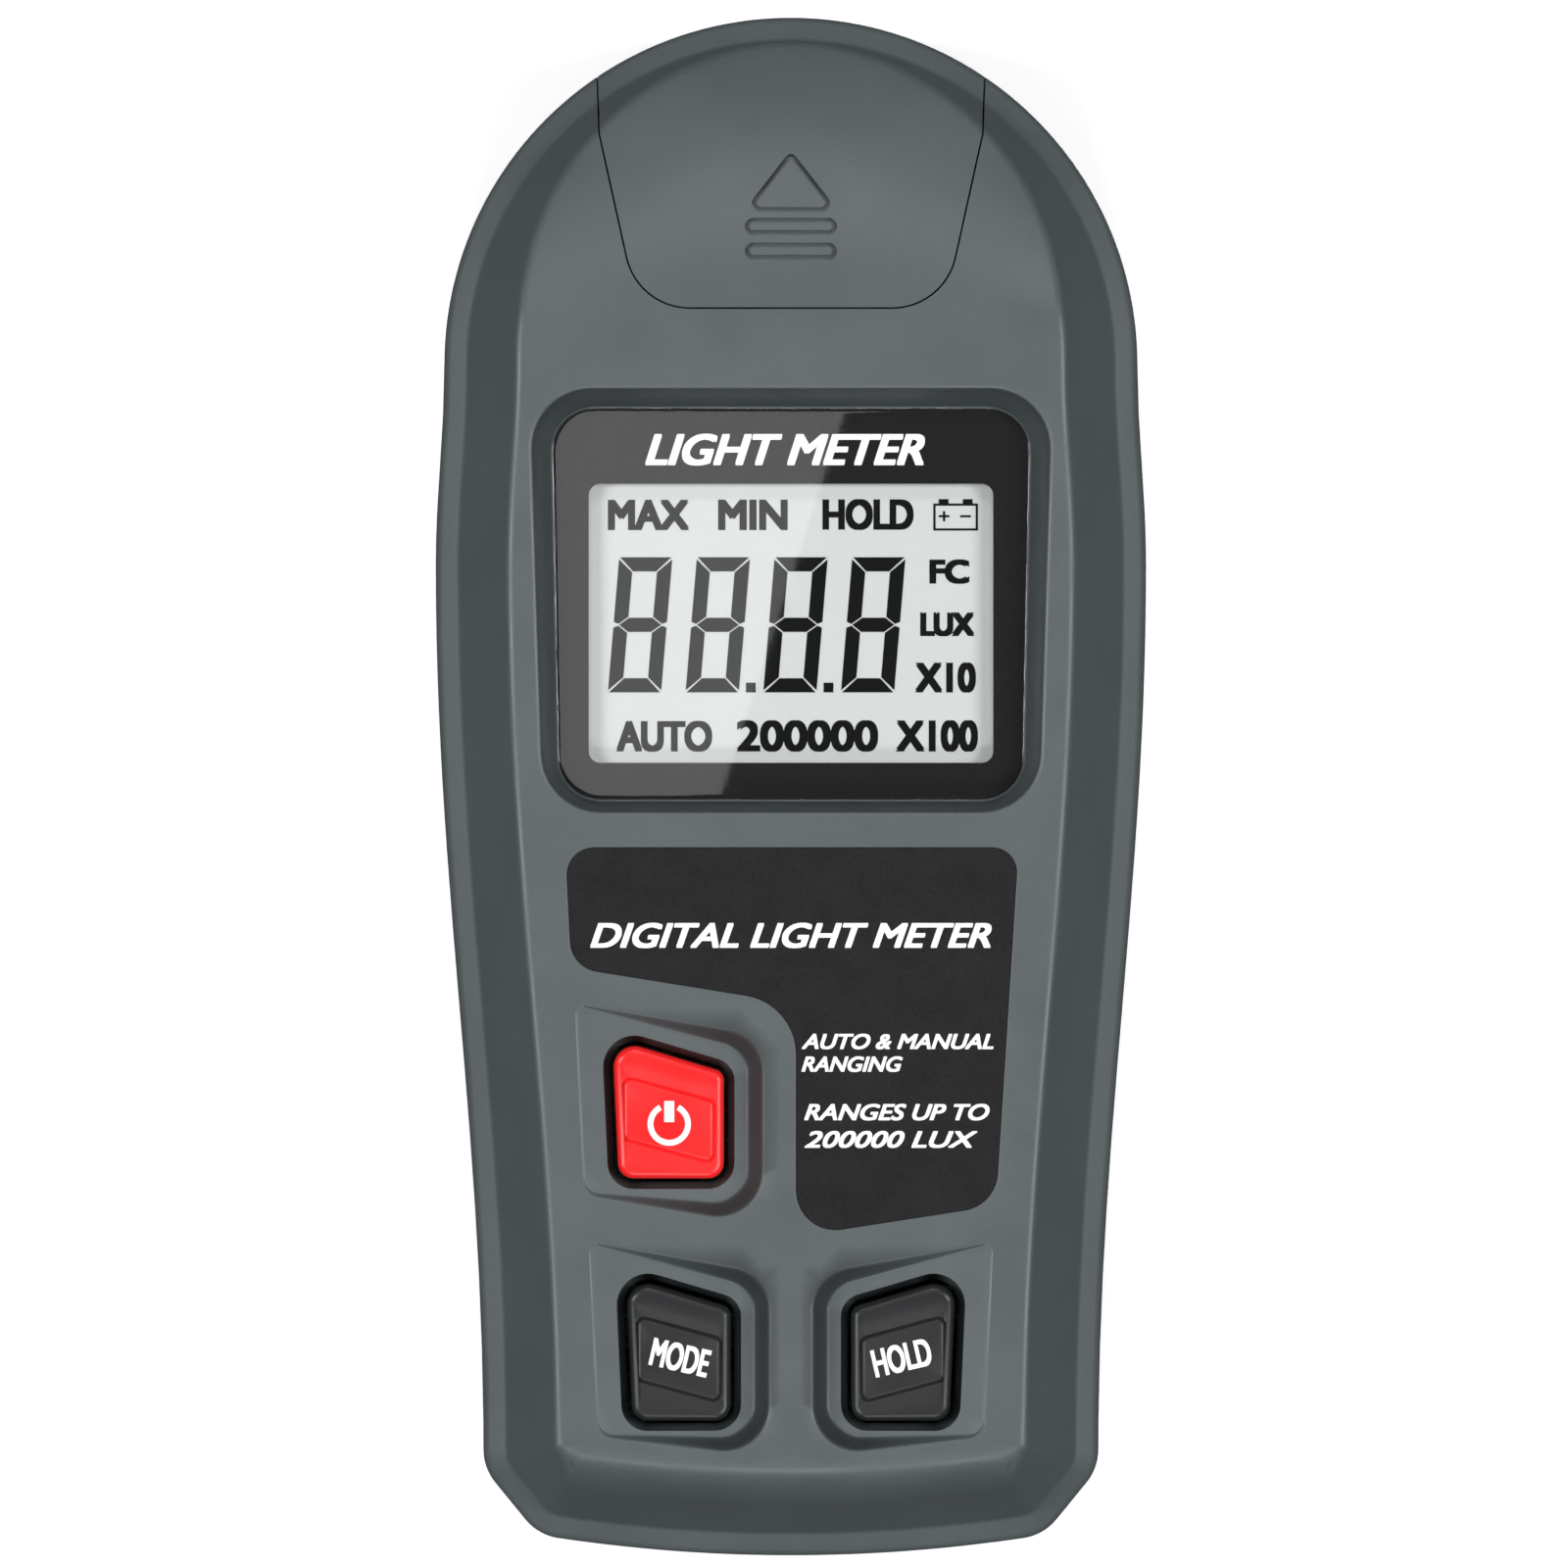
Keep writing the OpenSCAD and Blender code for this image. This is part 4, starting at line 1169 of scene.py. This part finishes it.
# colour, then roughness, grain, relief, variation and the rest as surface() takes them, then other sockets
PLAIN = {
    "key_red": ((248, 30, 32), (0.36, 0.3, 0.006, 0.05), {"Subsurface_Weight": 0.05}),
    "key_black": ((28, 29, 31), (0.42, 0.25, 0.008, 0.1), {}),
    "label_black": ((36, 36, 37), (0.75, 0.28, 0.012, 0.28, 3.0), {"Specular_IOR_Level": 0.1}),
    "border_black": ((33, 33, 34), (0.8, 0.4, 0.002, 0.1), {"Specular_IOR_Level": 0.05}),
    "print_white": ((246, 246, 246), (0.5, 0.12, 0.006, 0.03), {}),
    "lcd_ink": ((12, 13, 15), (0.7, 0.3, 0.002, 0.1), {"Specular_IOR_Level": 0.1}),
    "lcd_glass": ((200, 204, 202), (0.6, 0.25, 0.003, 0.012, 6.0, 0.03), {}),
    "filter_green": ((70, 160, 150), (0.08, 0.5, 0.001, 0.04), {"Transmission_Weight": 0.6}),
    "dome_white": ((240, 240, 236), (0.38, 0.2, 0.004, 0.02, 3.0),
                   {"Subsurface_Weight": 0.35, "Subsurface_Radius": (0.002, 0.002, 0.0018)}),
}


def plain(name):
    rgb, settings, sockets = PLAIN[name]
    return look(name, lambda m: m.surface(linear(*rgb), *settings).sockets(**sockets))


PLASTIC_IOR = 1.45


def clear_gloss():
    """Clear window plastic: mostly see-through, with a sharp reflection."""
    def make(m):
        m.surface(linear(250, 250, 250), 0.02, 0.5, 0.00002, 0.01, 12.0, 0.002).sockets(Metallic=1.0)
        fresnel = m.node("ShaderNodeFresnel")
        fresnel.inputs["IOR"].default_value = PLASTIC_IOR
        side, outer = m.node("ShaderNodeNewGeometry"), m.node("ShaderNodeMath", operation="SUBTRACT")
        outer.inputs[0].default_value = 1.0
        m.link(side.outputs["Backfacing"], outer.inputs[1])
        share = m.node("ShaderNodeMath", operation="MULTIPLY")
        m.link(fresnel.outputs["Fac"], share.inputs[0])
        m.link(outer.outputs[0], share.inputs[1])
        return m.see_through(share.outputs[0], True)
    return look("clear_gloss", make)


def floor_white():
    """Lit from below like a light table, so that the shadow stays pale; clear when seen from below."""
    def make(m):
        m.surface(linear(245, 245, 245), 0.7, 2.0, 0.01, 0.01)
        m.sockets(Emission_Color=(1, 1, 1, 1), Emission_Strength=0.4)
        return m.see_through(m.node("ShaderNodeNewGeometry").outputs["Backfacing"], False)
    return look("floor_white", make)


def moulded(name, rgb, rough=0.45, grain_mm=0.25, relief_mm=0.008, vary=0.06):
    return look(name, lambda m: m.surface(linear(*rgb), rough, grain_mm, relief_mm, vary))


def metal(name, rgb, rough=0.3, stretch=(1, 6, 1)):
    def make(m):
        return m.surface(linear(*rgb), rough, 0.15, 0.004, 0.08, 3.0, 0.08, stretch).sockets(Metallic=1.0)
    return look(name, make)


def board_green():
    """Solder mask over copper tracks, which run across the board."""
    def make(m):
        m.surface(linear(24, 78, 46), 0.35, 0.3, 0.01, 0.12)
        brick = m.node("ShaderNodeTexBrick")
        brick.inputs["Scale"].default_value = 1 / (9 * MM)
        brick.inputs["Color1"].default_value = linear(22, 74, 44)
        brick.inputs["Color2"].default_value = linear(28, 92, 54)
        brick.inputs["Mortar"].default_value = linear(60, 128, 78)
        m.link(m.coords, brick.inputs["Vector"])
        m.link(brick.outputs["Color"], m.shader.inputs["Base Color"])
        return m
    return look("board_green", make)


def cell_wrap(name, node, button_up):
    """Plain battery sleeve in two colours, with bare metal ends."""
    low, high = box_mm(node)

    def make(m):
        m.surface(linear(40, 42, 48), 0.3, 0.2, 0.003, 0.06)
        split = m.node("ShaderNodeSeparateXYZ")
        m.link(m.coords, split.inputs["Vector"])
        share = m.node("ShaderNodeMapRange")
        ends = (low.y, high.y) if button_up else (high.y, low.y)
        share.inputs["From Min"].default_value = ends[0] * MM
        share.inputs["From Max"].default_value = ends[1] * MM
        m.link(split.outputs["Y"], share.inputs["Value"])
        ramp = m.node("ShaderNodeValToRGB")
        ramp.color_ramp.interpolation = "CONSTANT"
        steel, dark, pale = linear(190, 190, 186), linear(38, 40, 46), linear(196, 148, 72)
        ramp.color_ramp.elements[0].color = steel
        ramp.color_ramp.elements[1].position, ramp.color_ramp.elements[1].color = 0.965, steel
        for position, colour in ((0.012, dark), (0.68, pale)):
            ramp.color_ramp.elements.new(position).color = colour
        m.link(share.outputs["Result"], ramp.inputs["Fac"])
        m.link(ramp.outputs["Color"], m.shader.inputs["Base Color"])
        return m.sockets(Metallic=0.35)
    return look(name, make)


# ---- CAD pieces that keep their own shape ----

def shade_smooth(obj, angle=30):
    """A modifier that smooths shading except across edges sharper than angle degrees."""
    group = bpy.data.node_groups.get("smooth_shading")
    if group is None:
        group = bpy.data.node_groups.new("smooth_shading", "GeometryNodeTree")
        group.interface.new_socket("Geometry", in_out="INPUT", socket_type="NodeSocketGeometry")
        group.interface.new_socket("Geometry", in_out="OUTPUT", socket_type="NodeSocketGeometry")
        source, result = group.nodes.new("NodeGroupInput"), group.nodes.new("NodeGroupOutput")
        faces, edges = (group.nodes.new("GeometryNodeSetShadeSmooth") for _ in range(2))
        edges.domain = "EDGE"
        edges.inputs["Shade Smooth"].default_value = False
        turn = group.nodes.new("GeometryNodeInputMeshEdgeAngle")
        sharp = group.nodes.new("FunctionNodeCompare")
        sharp.operation = "GREATER_THAN"
        sharp.inputs[1].default_value = math.radians(angle)
        group.links.new(turn.outputs["Unsigned Angle"], sharp.inputs[0])
        group.links.new(sharp.outputs["Result"], edges.inputs["Selection"])
        group.links.new(source.outputs["Geometry"], faces.inputs["Geometry"])
        group.links.new(faces.outputs["Geometry"], edges.inputs["Geometry"])
        group.links.new(edges.outputs["Geometry"], result.inputs["Geometry"])
    weld = obj.modifiers.new("weld", "WELD")
    weld.merge_threshold = 0.002 * MM
    obj.modifiers.new("smooth_shading", "NODES").node_group = group


def finish_cad_nodes():
    """Materials and smooth shading for the CAD pieces that still show."""
    contact = metal("contact_nickel", (176, 172, 160), 0.28)
    screw = metal("screw_steel", (92, 92, 94), 0.34)
    wire = moulded("lead_wire", (196, 170, 40), 0.5)
    looks = {
        "rear_case": case_grey(), "battery_door": door_grey(), "lcd_panel": plain("lcd_glass"),
        "lcd_holder": moulded("holder_white", (214, 214, 208)),
        "lcd_connectors": moulded("zebra_rubber", (120, 92, 96), 0.6),
        "main_board": board_green(), "sensor_board": board_green(),
        "power_switch": moulded("switch_black", (30, 30, 32)),
        "controller_chip": moulded("chip_black", (26, 26, 28)),
        "timing_crystal": metal("crystal_steel", (196, 194, 188)),
        "board_parts": moulded("parts_ceramic", (150, 128, 100), 0.4, 0.3, 0.01, 0.12),
        "power_plunger": moulded("plunger_ivory", (226, 218, 196)),
        "sensor_dome": plain("dome_white"), "dome_ring": moulded("ring_grey", (58, 62, 64)),
        "filter_glass": plain("filter_green"), "photodiode": metal("diode_metal", (200, 182, 120), 0.25),
        "sensor_leads": wire, "battery_leads": wire, "contact_plates": contact, "contact_springs": contact,
        "case_screws": screw, "board_screws": screw,
    }
    for name in ("mode", "hold"):
        looks[name + "_switch"] = looks["power_switch"]
        looks[name + "_plunger"] = looks["power_plunger"]
    for i in (1, 2, 3):
        looks[f"battery_cell_{i}"] = cell_wrap(f"cell_wrap_{i}", f"battery_cell_{i}", i != 2)
    for node, material in looks.items():
        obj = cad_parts[node]
        obj.data.materials.clear()
        obj.data.materials.append(material)
        shade_smooth(obj)


# ---- studio and camera ----

FLOOR_Z = -0.05
EYE = Vector((-0.53, 0.19, 1512.5))
VIEW_HEIGHT = 120.33
SENSOR = 36.0
FLOOR_REACH = 4000.0
GLARE_HEIGHT, GLARE_WIDTH, GLARE_LENGTH, GLARE_POWER = 300.0, 45.0, 70.0, 0.025
GLARE_EDGE = (Vector((4.2, 28.8)), Vector((-5.5, -1.2)))


def softbox(name, place, size, power, aim=(0, 0, 12)):
    """A soft rectangular light, in millimetres and watts, turned towards aim."""
    data = bpy.data.lights.new(name, "AREA")
    data.shape, data.energy = "RECTANGLE", power
    data.size, data.size_y = size[0] * MM, size[1] * MM
    lamp = placed(name, data)
    lamp.location = Vector(place) * MM
    lamp.rotation_euler = (Vector(place) - Vector(aim)).to_track_quat("Z", "Y").to_euler()
    return lamp


def window_glare():
    """A lamp whose mirror image in the window ends along a slanted line."""
    reach = (GLARE_HEIGHT - PLATE_HIGH.z) / (EYE.z - PLATE_HIGH.z)
    ends = [point + (point - EYE.xy) * reach for point in GLARE_EDGE]
    along = (ends[0] - ends[1]).normalized()
    centre = (ends[0] + ends[1]) / 2 + left_of(along) * GLARE_WIDTH / 2
    lamp = softbox("glare", (centre.x, centre.y, GLARE_HEIGHT), (GLARE_WIDTH, GLARE_LENGTH), GLARE_POWER,
                   (centre.x, centre.y, 0))
    lamp.visible_camera = False
    lamp.rotation_euler = (0, 0, math.atan2(along.y, along.x) - math.pi / 2)


def studio():
    world = bpy.data.worlds.new("studio")
    world.use_nodes = True
    nodes, links = world.node_tree.nodes, world.node_tree.links
    direction, split = nodes.new("ShaderNodeTexCoord"), nodes.new("ShaderNodeSeparateXYZ")
    height = nodes.new("ShaderNodeMapRange")
    for socket, number in zip(("From Min", "From Max", "To Min", "To Max"), (-0.25, 0.05, 0.1, 0.04)):
        height.inputs[socket].default_value = number
    links.new(direction.outputs["Generated"], split.inputs["Vector"])
    links.new(split.outputs["Z"], height.inputs["Value"])
    links.new(height.outputs["Result"], nodes["Background"].inputs["Strength"])
    nodes["Background"].inputs["Color"].default_value = (0.97, 0.99, 1.0, 1)
    bpy.context.scene.world = world
    softbox("east", (1500, 100, 1700), (500, 900), 29.0)
    softbox("west", (-1500, 100, 1700), (500, 900), 29.0)
    softbox("north", (0, 1500, 1700), (500, 400), 9.0)
    softbox("south", (0, -1500, 1700), (900, 500), 15.5)
    window_glare()

    shell = Shell()
    square = bar(-FLOOR_REACH, -FLOOR_REACH, FLOOR_REACH, FLOOR_REACH)
    shell.cap(shell.loop(at_height(square, FLOOR_Z)))
    floor = shell.object("floor")
    floor.data.materials.append(floor_white())
    floor.visible_diffuse = floor.visible_glossy = False


def camera():
    data = bpy.data.cameras.new("camera")
    data.sensor_width = SENSOR
    data.lens = SENSOR * (EYE.z - PART_Z) / VIEW_HEIGHT
    data.clip_start, data.clip_end = 0.05, 20
    eye = placed("camera", data)
    eye.location = EYE * MM
    bpy.context.scene.camera = eye
    bpy.context.scene.view_settings.view_transform = "Standard"


def main():
    camera()
    studio()
    front_shell()
    sensor_cap()
    key_shape("power_button_top", "power_key", "power_button", POWER, 1, plain("key_red"))
    key_shape("mode_button_top", "mode_key", "mode_button", MODE, 1, plain("key_black"))
    key_shape("hold_button_top", "hold_key", "hold_button", MODE, -1, plain("key_black"))
    power_mark()
    for words, side in (("MODE", 1), ("HOLD", -1)):
        middle = -KEY_WORD_X * side
        low, high = (middle - KEY_WORD_HALF_W, KEY_WORD_Y[0]), (middle + KEY_WORD_HALF_W, KEY_WORD_Y[1])
        lettering("word_" + words.lower(), words, low, high, PAD_TOP_Z, plain("print_white"),
                  words.lower() + "_button", 0.0, KEY_WEIGHT, math.radians(KEY_WORD_TURN * side))
    display()
    window()
    label()
    finish_cad_nodes()


main()
